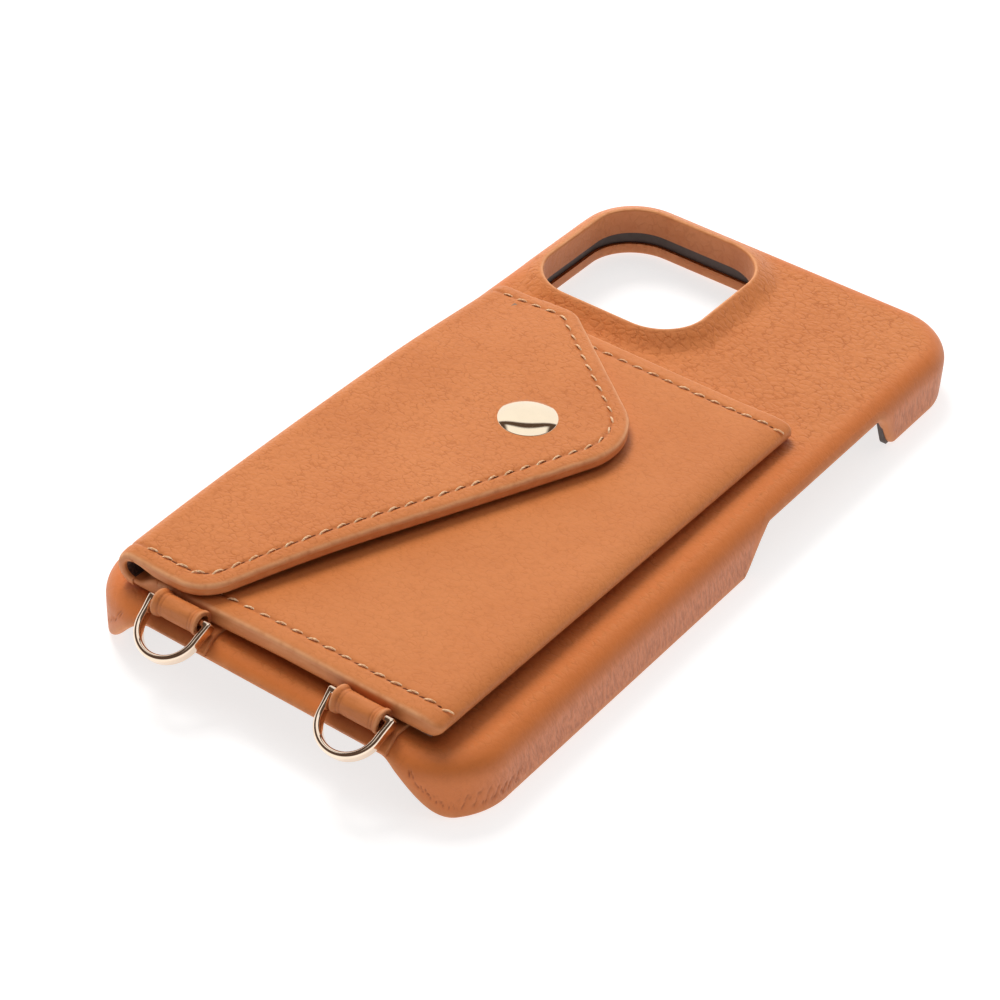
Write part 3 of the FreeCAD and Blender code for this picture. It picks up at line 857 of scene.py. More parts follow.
def addStreak(obj):
    # distance round the case and height, for the cells that are drawn up the wall
    mesh = obj.data
    n = len(mesh.vertices)
    co = np.zeros(n * 3)
    mesh.vertices.foreach_get("co", co)
    co = co.reshape(-1, 3) / mm
    cx = case["halfX"] - case["corner"]
    cy = case["halfY"] - case["corner"]
    px = np.clip(co[:, 0], -cx, cx)
    py = np.clip(co[:, 1], -cy, cy)
    angle = np.arctan2(co[:, 1] - py, co[:, 0] - px)
    turned = angle * case["corner"]
    along = turned + py - (px - cx) * np.sign(angle)
    along = np.where(angle > math.pi / 2 + 1e-4, turned + 2 * cx + 2 * cy - py, along)
    along = np.where(angle < -math.pi / 2 - 1e-4, turned - 2 * cx - cy, along)
    streak = np.column_stack([along + co[:, 2] * 0.30, co[:, 2], np.zeros(n)])
    data = mesh.attributes.new("streak", "FLOAT_VECTOR", "POINT")
    data.data.foreach_set("vector", streak.astype(np.float32).ravel())


buildCover()

# the pouch and the flap

flap = {
    "shoulder": (14.1, 5.5),
    "tip": (44.4, 24.0, 13.0),
    "heel": (14.2, 7.2),
    "seam": 2.6,
    "seamDepth": 0.20,
    "seamWidth": 0.42,
    "edgeRound": 0.85,
    "edgeBulge": 0.32,
    "seed": 41.0,
    "endDip": 0.9,
    "swell": 0.45,
    "heelDip": 0.50,
    "bow": 0.45,
    "snapDip": 0.25,
    "foldSwell": 0.45,
    "foldLining": 0.60,
    "tuck": 0.6,
}

# the fold is a half tube: its outer radius, the leather's thickness and the height of its axis
foldOutside = (foldHi[2] - foldLo[2]) / 2
foldThick = foldHi[2] - flapLo[2]
foldZ = foldLo[2] + foldOutside
foldAngles = np.linspace(math.pi / 2, -math.pi / 2, 33)
pouch = {
    "foldMatch": 0.36,
    "liftLow": (-0.15, 1.1),
    "liftHigh": -0.5,
    "edgeRound": 0.85,
    "edgeBulge": 0.45,
    "seam": 3.0,
    "seamDepth": 0.20,
    "seamWidth": 0.42,
    "foldReach": 4.2,
    "foldPower": 2.2,
    "foldLift": 0.35,
    "corner": 1.6,
    "reach": 0.4,
    "mouthInset": 4.5,
    "seamZone": 4.0,
    "half": (pouchHi[2] - pouchLo[2]) / 2,
    "seed": 20.0,
    "middleRows": 44,
}
pouchMouth = pouchInLo[0] + pouch["mouthInset"]


def lift(x, y):
    # the pouch is a little warped: it stands off the case at its lower right corner
    t = (y - (pouchLo[1] - 0.5)) / (pouchHi[1] - pouchLo[1] + 0.5)
    left, right = pouch["liftLow"]
    low = left + (right - left) * smoothstep((x - pouchLo[0] + 1.0) / 34.0)
    return low + (pouch["liftHigh"] - low) * t


def foldMatch(x):
    # the pouch's lower end runs out to the fold's
    return pouch["foldMatch"] * (1 - smoothstep((x - pouchLo[0]) / 9.0))


def edgeProfile(depth, rounding):
    # how far the face has dropped at a distance in from a rounded edge
    t = np.clip(1 - depth / rounding, 0, 1)
    return rounding * (1 - np.sqrt(np.clip(1 - t * t, 0, 1)))


edgeDepths = [
    0, 0.03, 0.08, 0.16, 0.28, 0.42, 0.6, 0.9, 1.3, 1.7,
    2.0, 2.2, 2.4, 2.6, 2.8, 3.0, 3.2, 3.4, 3.7, 4.3, 5.5,
]


def faceDrops(spec, margin):
    # drop and tones of a stitched face, by distance from its edge
    drop = []
    shade = []
    rub = []
    for d in edgeDepths:
        # the layers are pressed thin at the edge and rounded over
        seam = math.exp(-(((d - spec["seam"]) / spec["seamWidth"]) ** 2))
        pressed = margin * (1 - smoothstep(d / 2.4))
        drop.append(float(edgeProfile(d, spec["edgeRound"])) + spec["seamDepth"] * seam + pressed)
        shade.append(0.42 * math.exp(-(((d - spec["seam"]) / 0.30) ** 2)))
        # a pale line just inside the edge: burnished rub and painted highlight
        rub.append(float(0.9 * math.exp(-(((d - 0.22) / 0.20) ** 2))))
    return np.array(drop), np.array(shade), np.array(rub)


def pouchShape(x):
    # share of the thickness left near the folded side, height of its middle, cut of its corners
    right = pouchHi[0] + pouch["reach"]
    u = float(np.clip((x - (right - pouch["foldReach"])) / pouch["foldReach"], 0, 1))
    share = (1 - u ** pouch["foldPower"]) ** (1 / pouch["foldPower"])
    rise = pouch["foldLift"] * float(smoothstep((x - (right - 14.0)) / 14.0))
    mid = (pouchHi[2] + pouchLo[2]) / 2 + rise - 0.15 * u
    c = pouch["corner"]
    cut = c - math.sqrt(max(0.0, c ** 2 - max(0.0, x - (right - c)) ** 2))
    return share, mid, cut


def fromBothEnds(values):
    # a measure of the edge rows, for all rows between the pouch's stitched ends
    return np.concatenate([values, np.zeros(pouch["middleRows"]), values[::-1]])


def pouchRows():
    # the rows between the stitched ends, and how far the underside is rounded up on each
    low, high = pouchLo[1], pouchHi[1]
    depths = np.array(edgeDepths)
    swell = pouch["edgeBulge"] * (1 - smoothstep(depths / 2.0))
    middle = np.linspace(low + 8, high - 8, pouch["middleRows"])
    ys = np.concatenate([low + depths - swell, middle, (high - depths + swell)[::-1]])
    return ys, fromBothEnds(edgeProfile(depths, 0.55))


def pouchSections(bag):
    # sections across the folded pouch, from the mouth to the fold; gives back the first
    left = pouchMouth
    right = pouchHi[0] + pouch["reach"]
    low, high = pouchLo[1], pouchHi[1]
    ys, bottomFall = pouchRows()
    fall, shadeRow, rubHighlightRow = map(fromBothEnds, faceDrops(pouch, 0.16))
    faceRows = 9
    xs = np.concatenate([
        [left, left + 0.05, left + 0.15, left + 0.3, left + 0.6],
        np.linspace(left + 1.5, right - pouch["foldReach"] - 1, 34),
        right - pouch["foldReach"] * (1 - np.sin(np.linspace(0, 1, 26) * math.pi / 2)),
    ])
    half = pouch["half"]
    seed = pouch["seed"]
    sections = Rows()
    for x in xs:
        share, mid, cut = pouchShape(x)
        u = float(np.clip((x - (right - pouch["foldReach"])) / pouch["foldReach"], 0, 1))
        lip = float(edgeProfile(x - left, 0.3))
        yy = low + cut + (ys - low) * (high - low - 2 * cut) / (high - low)
        yy = yy - foldMatch(x) * (1 - smoothstep((yy - low - 3.0) / 6.0))
        top = mid + half * share - fall * share - lip
        bottom = mid - half * share + bottomFall * share
        gx = x + (1 - share) * 1.6
        seamEnd = 1 - smoothstep((x - (right - 3.0)) / 0.6)
        t = np.arange(1, faceRows) / faceRows
        bulge = 0.10 * np.sin(t * math.pi) * share
        farZ = top[-1] + (bottom[-1] - top[-1]) * t + lift(x, yy[-1])
        nearZ = bottom[0] + (top[0] - bottom[0]) * t + lift(x, yy[0])
        co = np.vstack([
            columns(x, yy, top + lift(x, yy)),
            columns(x, yy[-1] + bulge, farZ),
            columns(x, yy[::-1], bottom[::-1] + lift(x, yy[::-1])),
            columns(x, yy[0] - bulge, nearZ),
        ])
        grain = np.vstack([
            columns(gx, yy, seed),
            columns(gx, yy[-1] + 3.4 * t, seed),
            columns(gx, yy[::-1], seed + 9),
            columns(gx, yy[0] - 3.4 * (1 - t), seed),
        ])
        fromEnd = np.minimum(yy - yy[0], yy[-1] - yy)
        endTone = np.full(faceRows - 1, 1 - 0.3 * u)
        none = np.zeros(faceRows - 1)
        topTone = np.clip(1 - fromEnd / 0.8, 0, 1) * (1 - 0.4 * u)
        underTone = np.full(len(yy), 0.2)
        sections.add(
            co, grain,
            edge=np.concatenate([topTone, endTone, underTone, endTone]),
            shade=np.concatenate([shadeRow * seamEnd, none, underTone, none]),
            rub=np.concatenate([rubHighlightRow * (1 - u), none, np.zeros(len(yy)), none]),
        )
    return sections.build(bag, closeCols=True, flip=True)[0]


def pouchPocket(bag, first):
    # the mouth: the front panel's own edge, then a pocket between the seams
    left = pouchMouth
    low, high = pouchLo[1], pouchHi[1]
    rim = first.copy()
    zone = pouch["seamZone"]
    for i in range(len(rim)):
        y = min(max(rim[i, 1], low + zone), high - zone)
        z = min(max(rim[i, 2] - lift(left, rim[i, 1]), pouchInLo[2] + 0.02), pouchInHi[2] - 0.02)
        rim[i] = [left, y, z + lift(left, y)]
    deep = rim.copy()
    deep[:, 0] += 50.0
    shut = deep.copy()
    shut[:, 2] = (pouchInLo[2] + pouchInHi[2]) / 2 + lift(left, shut[:, 1])
    mouth = np.array([first, rim, deep, shut])
    addGrid(bag, mouth, mouth, closeCols=True, edge=np.array([[0.9], [0.6], [0.0], [0.0]]))


def pouchBack(bag):
    # the back panel carries on to the fold
    left = pouchMouth
    low, high = pouchLo[1], pouchHi[1]
    ys, bottomFall = pouchRows()
    over = np.linspace(pouchLo[0] - 0.08, left + 0.4, 6)
    slab = []
    for x in over:
        lowZ = pouchLo[2] + bottomFall + lift(x, ys)
        highZ = pouchInLo[2] - bottomFall * 0.6 + lift(x, ys)
        slab.append(np.vstack([
            columns(x, ys, highZ),
            columns(x, ys[::-1], lowZ[::-1]),
        ]))
    slab = np.array(slab)
    for cut in (slab[0], slab[-1]):
        addGrid(bag, np.array([cut[:len(ys)], cut[len(ys):][::-1]]), edge=0.8)
    atEnd = (np.abs(slab[0][:, 1] - np.clip(slab[0][:, 1], low + 0.4, high - 0.4)) > 1e-6) * 1.0
    atEnd = np.broadcast_to(atEnd, slab.shape[:2])
    addGrid(bag, slab, slab + [0, 0, pouch["seed"]], closeCols=True, flip=True, edge=atEnd)


def pouchEnds(bag):
    # at both stitched ends the layers close up from the fold to the mouth
    left = pouchMouth
    zone = pouch["seamZone"]
    for end, way in ((pouchLo[1], 1), (pouchHi[1], -1)):
        ramp = []
        for x in np.linspace(pouchLo[0] - 0.08, left + 0.25, 16):
            t = smoothstep((x - pouchLo[0] - 0.9) / (left - pouchLo[0] - 0.9))
            startZ = pouchInLo[2] + flap["foldLining"]
            topZ = startZ + (pouchHi[2] - 0.12 - startZ) * t
            rounding = min(0.8, (topZ - pouchInLo[2]) * 0.8)
            y0 = end - way * (pouch["edgeBulge"] + 0.04) - (foldMatch(x) if way > 0 else 0)
            loop = [(end + way * zone, pouchInLo[2] - 0.1), (end + way * zone, topZ)]
            for a in np.linspace(90, 0, 7):
                loop.append((
                    y0 + way * rounding * (1 - math.cos(math.radians(a))),
                    topZ - rounding * (1 - math.sin(math.radians(a))),
                ))
            loop.append((y0, pouchInLo[2] - 0.1))
            ramp.append([(x, y, z + float(lift(x, end))) for y, z in loop])
        ramp = np.array(ramp)
        addGrid(bag, ramp, ramp + [0, 0, pouch["seed"]], closeCols=True, flip=way > 0, edge=1.0)
        for cap, flip in ((0, way < 0), (-1, way > 0)):
            ids = addPoints(bag, ramp[cap], ramp[cap], edge=1.0)
            face = ids.tolist()
            addFaces(bag, [face if flip else face[::-1]])


def buildPouch():
    bag = newBag()
    pouchPocket(bag, pouchSections(bag))
    pouchBack(bag)
    pouchEnds(bag)
    fixNormals(buildPiece(
        "pouchLeather", bag, [leatherPouch], body="case", replaced=("pouch_leather",),
    ))


buildPouch()

def flapBase(x, y):
    # lift of the flap: it follows the pouch, and dips towards its fold at the top end
    nearFold = 1 - smoothstep((x - flapLo[0]) / 16.0)
    nearTop = smoothstep((y - (flapHi[1] - 30.0)) / 30.0)
    width = np.clip((y - flapLo[1]) / (flapHi[1] - flapLo[1]), 0, 1)
    swell = flap["swell"] * np.sin(math.pi * width) * nearFold
    centre = (capLo + capHi) / 2
    pressed = np.exp(-((x - centre[0]) ** 2 + (y - centre[1]) ** 2) / 260.0)
    heel = flap["heelDip"] * np.exp(-((x - flapLo[0] - 9.0) ** 2 / 90.0 + (y - flapLo[1]) ** 2 / 120.0))
    bow = flap["bow"] * np.exp(-((x + 9.0) ** 2 / 120.0 + (y + 46.0) ** 2 / 260.0))
    return lift(x, y) - flap["endDip"] * nearFold * nearTop + swell - flap["snapDip"] * pressed - heel + bow


def roundedPath(points, radii, step):
    # open path with rounded corners: positions and outward normals that stay true when offset
    ends = [np.array(p, float) for p in points]
    cuts = []
    for i in range(1, len(ends) - 1):
        u = ends[i - 1] - ends[i]
        v = ends[i + 1] - ends[i]
        u /= np.linalg.norm(u)
        v /= np.linalg.norm(v)
        half = math.acos(np.clip(u @ v, -1, 1)) / 2
        run = radii[i - 1] / math.tan(half)
        centre = ends[i] + (u + v) / np.linalg.norm(u + v) * radii[i - 1] / math.sin(half)
        cuts.append((ends[i] + u * run, ends[i] + v * run, centre, radii[i - 1]))
    base = []
    out = []
    here = ends[0]
    for a, b, centre, r in cuts + [(ends[-1], None, None, None)]:
        n = max(2, int(np.linalg.norm(a - here) / step))
        along = (a - here) / np.linalg.norm(a - here)
        for k in range(n):
            base.append(here + (a - here) * k / n)
            out.append(np.array([along[1], -along[0]]))
        if centre is None:
            base.append(a)
            out.append(np.array([along[1], -along[0]]))
            break
        a0 = math.atan2(*(a - centre)[::-1])
        a1 = math.atan2(*(b - centre)[::-1])
        turn = (a1 - a0 + math.pi) % (2 * math.pi) - math.pi
        n = max(6, int(abs(turn) * r / (step * 0.7)))
        for k in range(n):
            angle = a0 + turn * k / n
            d = np.array([math.cos(angle), math.sin(angle)])
            base.append(centre + d * r)
            out.append(d if turn > 0 else -d)
        here = b
    return np.array(base), np.array(out)


def flapPath(step=0.8):
    left = flapLo[0]
    low, high = flapLo[1], flapHi[1]
    points = [
        (left, low),
        (left + flap["heel"][0], low),
        (left + flap["tip"][0], high - flap["tip"][1]),
        (left + flap["shoulder"][0], high),
        (left, high),
    ]
    return roundedPath(points, [flap["heel"][1], flap["tip"][2], flap["shoulder"][1]], step)


def dedupe(loop):
    keep = [0]
    for i in range(1, len(loop)):
        if np.hypot(*(loop[i] - loop[keep[-1]])) > 1e-3:
            keep.append(i)
    return loop[keep]


def pointsInside(outline, step, clear):
    # a grid of points that keeps clear of the outline's corners and sides
    points = hexPoints(outline.min(0), outline.max(0), step)
    shares = np.linspace(0, 1, 8, endpoint=False)[:, None, None]
    border = (outline * (1 - shares) + np.roll(outline, -1, axis=0) * shares).reshape(-1, 2)
    away = [np.min(np.hypot(*(border - p).T)) for p in points]
    return np.array([p for p, d in zip(points, away) if d > clear and insideLoop(p, outline)])


def foldShape(angle, ys, low, high):
    # the fold's swelling and its shift between the pouch's lift and the flap's
    left = flapLo[0]
    up = (1 + math.sin(angle)) / 2
    width = np.clip((ys - low) / (high - low), 0, 1)
    bulge = flap["foldSwell"] * math.cos(angle) * np.sin(math.pi * width) ** 0.6
    upper = flapBase(np.full(len(ys), left), ys)
    lower = lift(left, ys)
    return bulge, lower + (upper - lower) * smoothstep(up), up


def blendOverFold(piece):
    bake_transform(piece)


def flapFace(bag, base, out, rounded):
    # the front leather's side, then its face inwards from the edge; gives back the rows
    left = flapLo[0]
    topZ = flapHi[2]
    midZ = flapInHi[2]
    seed = flap["seed"]
    count = len(base)
    edgeTop = topZ - rounded[0][0]
    face = Rows()
    for share in (0.0, 0.5):
        xy = base + out * flap["edgeBulge"]
        z = midZ + (edgeTop - midZ) * share
        face.add(
            np.column_stack([xy, z + flapBase(xy[:, 0], xy[:, 1])]),
            np.column_stack([base + out * (topZ - z), np.full(count, seed)]),
            edge=1.0, shade=0.0, rub=0.0,
        )
    path = np.cumsum(np.concatenate([[0], np.linalg.norm(np.diff(base, axis=0), axis=1)]))
    edgeWave = np.sin(path * 0.9) + 0.8 * np.sin(path * 2.3 + 1.0) + 0.6 * np.sin(path * 4.1)
    edgeWave *= smoothstep((base[:, 0] - left) / 3.0)
    for d, drop, shade, rub in zip(edgeDepths, *rounded):
        xy = base - out * (d - flap["edgeBulge"] * (1 - smoothstep(d / 2.0)))
        wavy = 0.035 * math.exp(-(((d - 0.35) / 0.35) ** 2)) * edgeWave
        face.add(
            np.column_stack([xy, topZ - drop + wavy + flapBase(xy[:, 0], xy[:, 1])]),
            np.column_stack([xy, np.full(count, seed)]),
            edge=np.clip(1 - d / 0.9, 0, 1) * 0.9, shade=shade, rub=rub,
        )
    for row in face.co:
        row[0, 0] = left
        row[-1, 0] = left
    return face.build(bag)


def foldSheet(bag, foldY, backY, rounded):
    # the fold from the face round to its foot, with the rows of its lining's lip and its back
    left = flapLo[0]
    seed = flap["seed"]
    foldDrop, foldShade, foldRubHighlight = rounded
    fromEnd = np.minimum(foldY - foldY[0], foldY[-1] - foldY)
    sheet = Rows()
    back = []
    lip = []
    for a in foldAngles:
        bulge, shift, up = foldShape(a, foldY, flapLo[1], flapHi[1])
        rad = foldOutside + bulge - foldDrop * (0.55 + 0.45 * up ** 2)
        z = foldZ + rad * math.sin(a) + shift
        if abs(a - math.pi / 2) < 1e-9:
            z = flapHi[2] - foldDrop + flapBase(np.full(len(foldY), left), foldY)
        sheet.add(
            columns(left - rad * math.cos(a), foldY, z),
            columns(left - foldOutside * (math.pi / 2 - a), foldY, seed),
            edge=np.clip(1 - fromEnd / 0.9, 0, 1) * 0.9, shade=foldShade * up ** 2, rub=foldRubHighlight,
        )
        within = foldOutside + bulge - foldThick
        for rows, y, rad in ((lip, foldY, within - flap["foldLining"] - 0.02), (back, backY, within)):
            rows.append(columns(left - rad * math.cos(a), y, foldZ + rad * math.sin(a) + shift))
    return sheet.build(bag), np.array(lip), np.array(back)


def foldEnds(bag, face, sheet, lip, back):
    # the fold's cut ends, from its outside round the lip and tucked in to its back
    for side, way in ((0, -1), (-1, 1)):
        outer = sheet[:, side]
        inner = lip[:, side]
        strip = []
        for t in np.linspace(0, 1, 9):
            p = outer * (1 - t) + inner * t
            p[:, 1] += way * (0.10 * math.sin(math.pi * t) - 0.16 * max(0.0, t - 0.7) / 0.3)
            strip.append(p)
        tucked = inner.copy()
        tucked[:, 1] -= way * flap["tuck"]
        strip.append(tucked)
        strip.append(back[:, side])
        strip = np.array(strip)
        addGrid(bag, strip, strip + [0, 0, flap["seed"]], flip=(side == 0), edge=1.0)
        for loop in (strip[:, -1], np.vstack([strip[:, 0], face[0, side], face[1, side]])):
            ids = addPoints(bag, loop, loop, edge=1.0)
            addFaces(bag, [ids.tolist()])


def buildFlap():
    bag = newBag()
    left = flapLo[0]
    topZ = flapHi[2]
    midZ = flapInHi[2]
    grain = grainOver(flap["seed"])
    rounded = faceDrops(flap, 0.20)
    base, out = flapPath()
    face = flapFace(bag, base, out, rounded)

    # rows of the fold lie at the same distances from both ends
    nearY, farY = face[-len(edgeDepths):, [0, -1], 1].T
    midY = np.linspace(nearY[-1], farY[-1], 62)[1:-1]
    blank = np.zeros(len(midY))
    foldY = np.concatenate([nearY, midY, farY[::-1]])
    rounded = [np.concatenate([v, blank, v[::-1]]) for v in rounded]
    outline = np.vstack([face[-1][:, :2], columns(left, midY)[::-1]])
    inside = pointsInside(outline, 1.1, 0.55)
    addFill(bag, outline, [], inside, lambda x, y: topZ + flapBase(x, y), grain)

    # the fold itself, its cut ends, its back and the back of the face
    backY = np.clip(foldY, foldY[0] + flap["tuck"], foldY[-1] - flap["tuck"])
    sheet, lip, back = foldSheet(bag, foldY, backY, rounded)
    foldEnds(bag, face, sheet, lip, back)
    addGrid(bag, back, back, flip=True)
    foot = np.array([sheet[-1], back[-1]])
    addGrid(bag, foot, foot, edge=1.0)
    ends = backY[(foldY >= backY[0]) & (foldY <= backY[-1])]
    ends = np.unique(np.concatenate([[backY[0], backY[-1]], ends]))[::-1]
    whole = np.vstack([face[0][:, :2], columns(left, ends)])
    inside = pointsInside(whole, 3.0, 0.8)
    addFill(bag, whole, [], inside, lambda x, y: midZ + flapBase(x, y), grain, flip=True)
    blendOverFold(fixNormals(buildPiece(
        "flapOuter", bag, [leatherFlap], replaced=("flap_leather", "flap_fold"),
    )))
    buildFlapInner(base, out, midZ)
    buildFoldLining()


def buildFlapInner(base, out, midZ):
    # the inner leather: full under the flap, skived thin towards the fold
    bag = newBag()
    start = flapLo[0]
    lowZ = flapInLo[2]
    count = len(base)
    snapX, snapY = ((capLo + capHi) / 2)[:2]

    def fromSnap(x, y):
        return np.hypot(x - snapX, y - snapY)

    def underside(x):
        return lowZ + 0.92 * (1 - smoothstep((x - start - 0.8) / 4.0))

    def above(x, y):
        return midZ + flapBase(x, y)

    def below(x, y):
        # with a recess round the snap
        return underside(x) + flapBase(x, y) + 0.35 * (1 - smoothstep((fromSnap(x, y) - 4.55) / 0.15))

    rows = []
    grains = []
    shares = (0.0, 0.02, 0.06, 0.13, 0.22, 0.34, 0.5, 0.75, 1.0)
    for share in shares:
        pull = 0.75 * (1 - math.sqrt(1 - max(0.0, 1 - share / 0.5) ** 2))
        xy = base + out * (flap["edgeBulge"] - pull)
        bottom = underside(xy[:, 0])
        z = bottom + (midZ - bottom) * share
        rows.append(np.column_stack([xy, z + flapBase(xy[:, 0], xy[:, 1])]))
        grains.append(np.column_stack([base - out * (z - lowZ)[:, None], np.full(count, 63.0)]))
    grid = np.array(rows)
    for row in grid:
        row[row[:, 0] < start, 0] = start
    addGrid(bag, grid, np.array(grains), edge=1.0)
    for edgeRow, under in ((grid[0], True), (grid[-1], False)):
        loop = edgeRow[:, :2]
        closing = columns(start, np.linspace(loop[-1, 1], loop[0, 1], 32)[1:-1])
        closed = dedupe(np.vstack([loop, closing]))
        points = pointsInside(closed, 1.6, 0.7)
        if under:
            turn = np.linspace(0, 2 * math.pi, 72, endpoint=False)
            circle = columns(np.cos(turn), np.sin(turn))
            rings = [(snapX, snapY) + r * circle for r in (4.40, 4.55, 4.62, 4.70, 4.85)]
            far = fromSnap(*points.T)
            points = np.vstack([points[(far < 4.1) | (far > 5.1)], *rings])
        height = below if under else above
        addFill(bag, closed, [], points, height, grainOver(63.0), flip=under, slot=int(under))
    at = np.full(32, start)
    side = []
    for share, row in zip(shares, grid):
        ys = np.linspace(row[-1, 1], row[0, 1], 32)
        z = underside(at) + (midZ - underside(at)) * share + flapBase(at, ys)
        side.append(np.column_stack([at, ys, z]))
    addGrid(bag, np.array(side), np.array(side), edge=0.8)
    fixNormals(buildPiece(
        "flapInner", bag, [leatherInside, darkSuede], body="flap",
        replaced=("flap_lining",),
    ))


def buildFoldLining():
    # leather-edged suede sheet round the inside of the fold
    bag = newBag()
    ys = np.linspace(foldInLo[1] + 0.10, foldInHi[1] - 0.10, 70)
    fine = np.array([0, 0.08, 0.25])
    ys = np.concatenate([ys[0] + fine, ys[1:-1], ys[-1] - fine[::-1]])
    fuzz = 0.05 * np.sin(ys * 9.1) + 0.04 * np.sin(ys * 23.7)
    rounding = edgeProfile(np.minimum(ys - ys[0], ys[-1] - ys), 0.10)
    outer = []
    inner = []
    for i, a in enumerate(foldAngles):
        bulge, shift, _ = foldShape(a, ys, flapLo[1], flapHi[1])
        depth = flap["foldLining"] - rounding + fuzz * math.cos(i * 1.7)
        for rows, inset in ((outer, 0.03), (inner, depth)):
            rad = foldOutside + bulge - foldThick - inset
            rows.append(columns(flapLo[0] - rad * math.cos(a), ys, foldZ + rad * math.sin(a) + shift))
    outer = np.array(outer)
    inner = np.array(inner)
    addGrid(bag, outer, None, slot=1)
    addGrid(bag, inner, None, flip=True)
    for side in (0, -1):
        strip = np.array([outer[:, side], inner[:, side]])
        addGrid(bag, strip, strip + [0, 0, 63.0], flip=(side == 0), slot=1, edge=1.0, shade=0.1)
    for row, flip in ((0, False), (-1, True)):
        strip = np.array([outer[row], inner[row]])
        addGrid(bag, strip, None, flip=flip)
    blendOverFold(fixNormals(buildPiece(
        "foldLining", bag, [darkSuede, leatherInside], replaced=("fold_lining",),
    )))


buildFlap()

# the stitching

stitch = {
    "pitch": 3.0,
    "length": 2.10,
    "strand": 0.100,
    "twistOut": 0.092,
    "strands": 3,
    "twist": 1.0,
    "arch": 0.42,
    "sink": 0.13,
    "slant": 15.0,
    "hole": (0.52, 0.16),
}


def looseUnit(name, verts, faces):
    mesh = bpy.data.meshes.new(name)
    mesh.from_pydata([[c * mm for c in v] for v in verts], [], faces)
    mesh.shade_smooth()
    obj = bpy.data.objects.new(name, mesh)
    bpy.context.scene.collection.objects.link(obj)
    return obj


def stitchMesh():
    # one stitch: a short arch of twisted strands whose ends dive into the leather
    verts = []
    faces = []
    steps = 16
    sides = 8
    for strand in range(stitch["strands"]):
        phase = 2 * math.pi * strand / stitch["strands"]
        start = len(verts)
        for i in range(steps + 1):
            t = i / steps
            x = (t - 0.5) * stitch["length"]
            z = stitch["arch"] * (1 - abs(2 * t - 1) ** 2.4) - stitch["sink"]
            a = phase + 2 * math.pi * stitch["twist"] * t
            thin = 0.75 + 0.25 * math.sin(math.pi * t)
            cy = math.cos(a) * stitch["twistOut"] * thin
            cz = math.sin(a) * stitch["twistOut"] * thin * 0.7
            for k in range(sides):
                b = 2 * math.pi * k / sides
                r = stitch["strand"] * thin
                verts.append((x, cy + r * math.cos(b), z + cz + r * math.sin(b)))
        for i in range(steps):
            for k in range(sides):
                a0 = start + i * sides + k
                a1 = start + i * sides + (k + 1) % sides
                faces.append((a0, a1, a1 + sides, a0 + sides))
        faces.append([start + k for k in range(sides)][::-1])
        faces.append([start + steps * sides + k for k in range(sides)])
    return looseUnit("stitchUnit", verts, faces)


def holeShadeMesh():
    # a dark shallow closed lens, painted shade at the mouth of a needle hole
    count = 14
    verts = [(0, 0, 0.035), (0, 0, -0.25)]
    for k in range(count):
        b = 2 * math.pi * k / count
        verts.append((stitch["hole"][0] * math.cos(b), stitch["hole"][1] * math.sin(b), 0.03))
    faces = []
    for k in range(count):
        a, b = 2 + k, 2 + (k + 1) % count
        faces.append((0, a, b))
        faces.append((1, b, a))
    return looseUnit("holeUnit", verts, faces)


def rowTree():
    # one unit at every pitch along the rows that it is given
    tree = bpy.data.node_groups.new("stitchRow", "GeometryNodeTree")
    face = tree.interface
    for label, kind in (
        ("Geometry", "Geometry"), ("Unit", "Object"), ("Pitch", "Float"), ("Slant", "Float"),
        ("Wander", "Float"), ("Seed", "Int"), ("Material", "Material"),
    ):
        face.new_socket(name=label, in_out="INPUT", socket_type="NodeSocket" + kind)
    face.new_socket(name="Geometry", in_out="OUTPUT", socket_type="NodeSocketGeometry")
    n = Nodes(tree)

    def wired(kind, sockets, **settings):
        node = n.add(kind, **settings)
        for key, value in sockets.items():
            n.put(value, node.inputs[key])
        return node.outputs

    source = n.add("NodeGroupInput").outputs
    curve = wired("GeometryNodeMeshToCurve", {"Mesh": source["Geometry"]})[0]
    points = wired(
        "GeometryNodeCurveToPoints", {"Curve": curve, "Length": source["Pitch"]}, mode="LENGTH",
    )
    unit = wired("GeometryNodeObjectInfo", {"Object": source["Unit"]})["Geometry"]
    turn = wired(
        "FunctionNodeAlignRotationToVector", {"Vector": points["Tangent"]}, axis="X", pivot_axis="Z",
    )[0]
    least = n.math("SUBTRACT", source["Slant"], source["Wander"])
    most = n.math("ADD", source["Slant"], source["Wander"])
    wander = wired(
        "FunctionNodeRandomValue", {2: least, 3: most, "Seed": source["Seed"]}, data_type="FLOAT",
    )[1]
    euler = wired("ShaderNodeCombineXYZ", {"Z": wander})[0]
    spin = wired("FunctionNodeEulerToRotation", {0: euler})[0]
    rotation = wired("FunctionNodeRotateRotation", {0: turn, 1: spin}, rotation_space="LOCAL")[0]
    size = wired(
        "FunctionNodeRandomValue", {2: 0.90, 3: 1.08, "Seed": source["Seed"]}, data_type="FLOAT",
    )[1]
    placed = wired("GeometryNodeInstanceOnPoints", {
        "Points": points["Points"], "Instance": unit, "Rotation": rotation, "Scale": size,
    })[0]
    real = wired("GeometryNodeRealizeInstances", {0: placed})[0]
    painted = wired("GeometryNodeSetMaterial", {"Geometry": real, "Material": source["Material"]})[0]
    wired("NodeGroupOutput", {0: painted})
    return tree


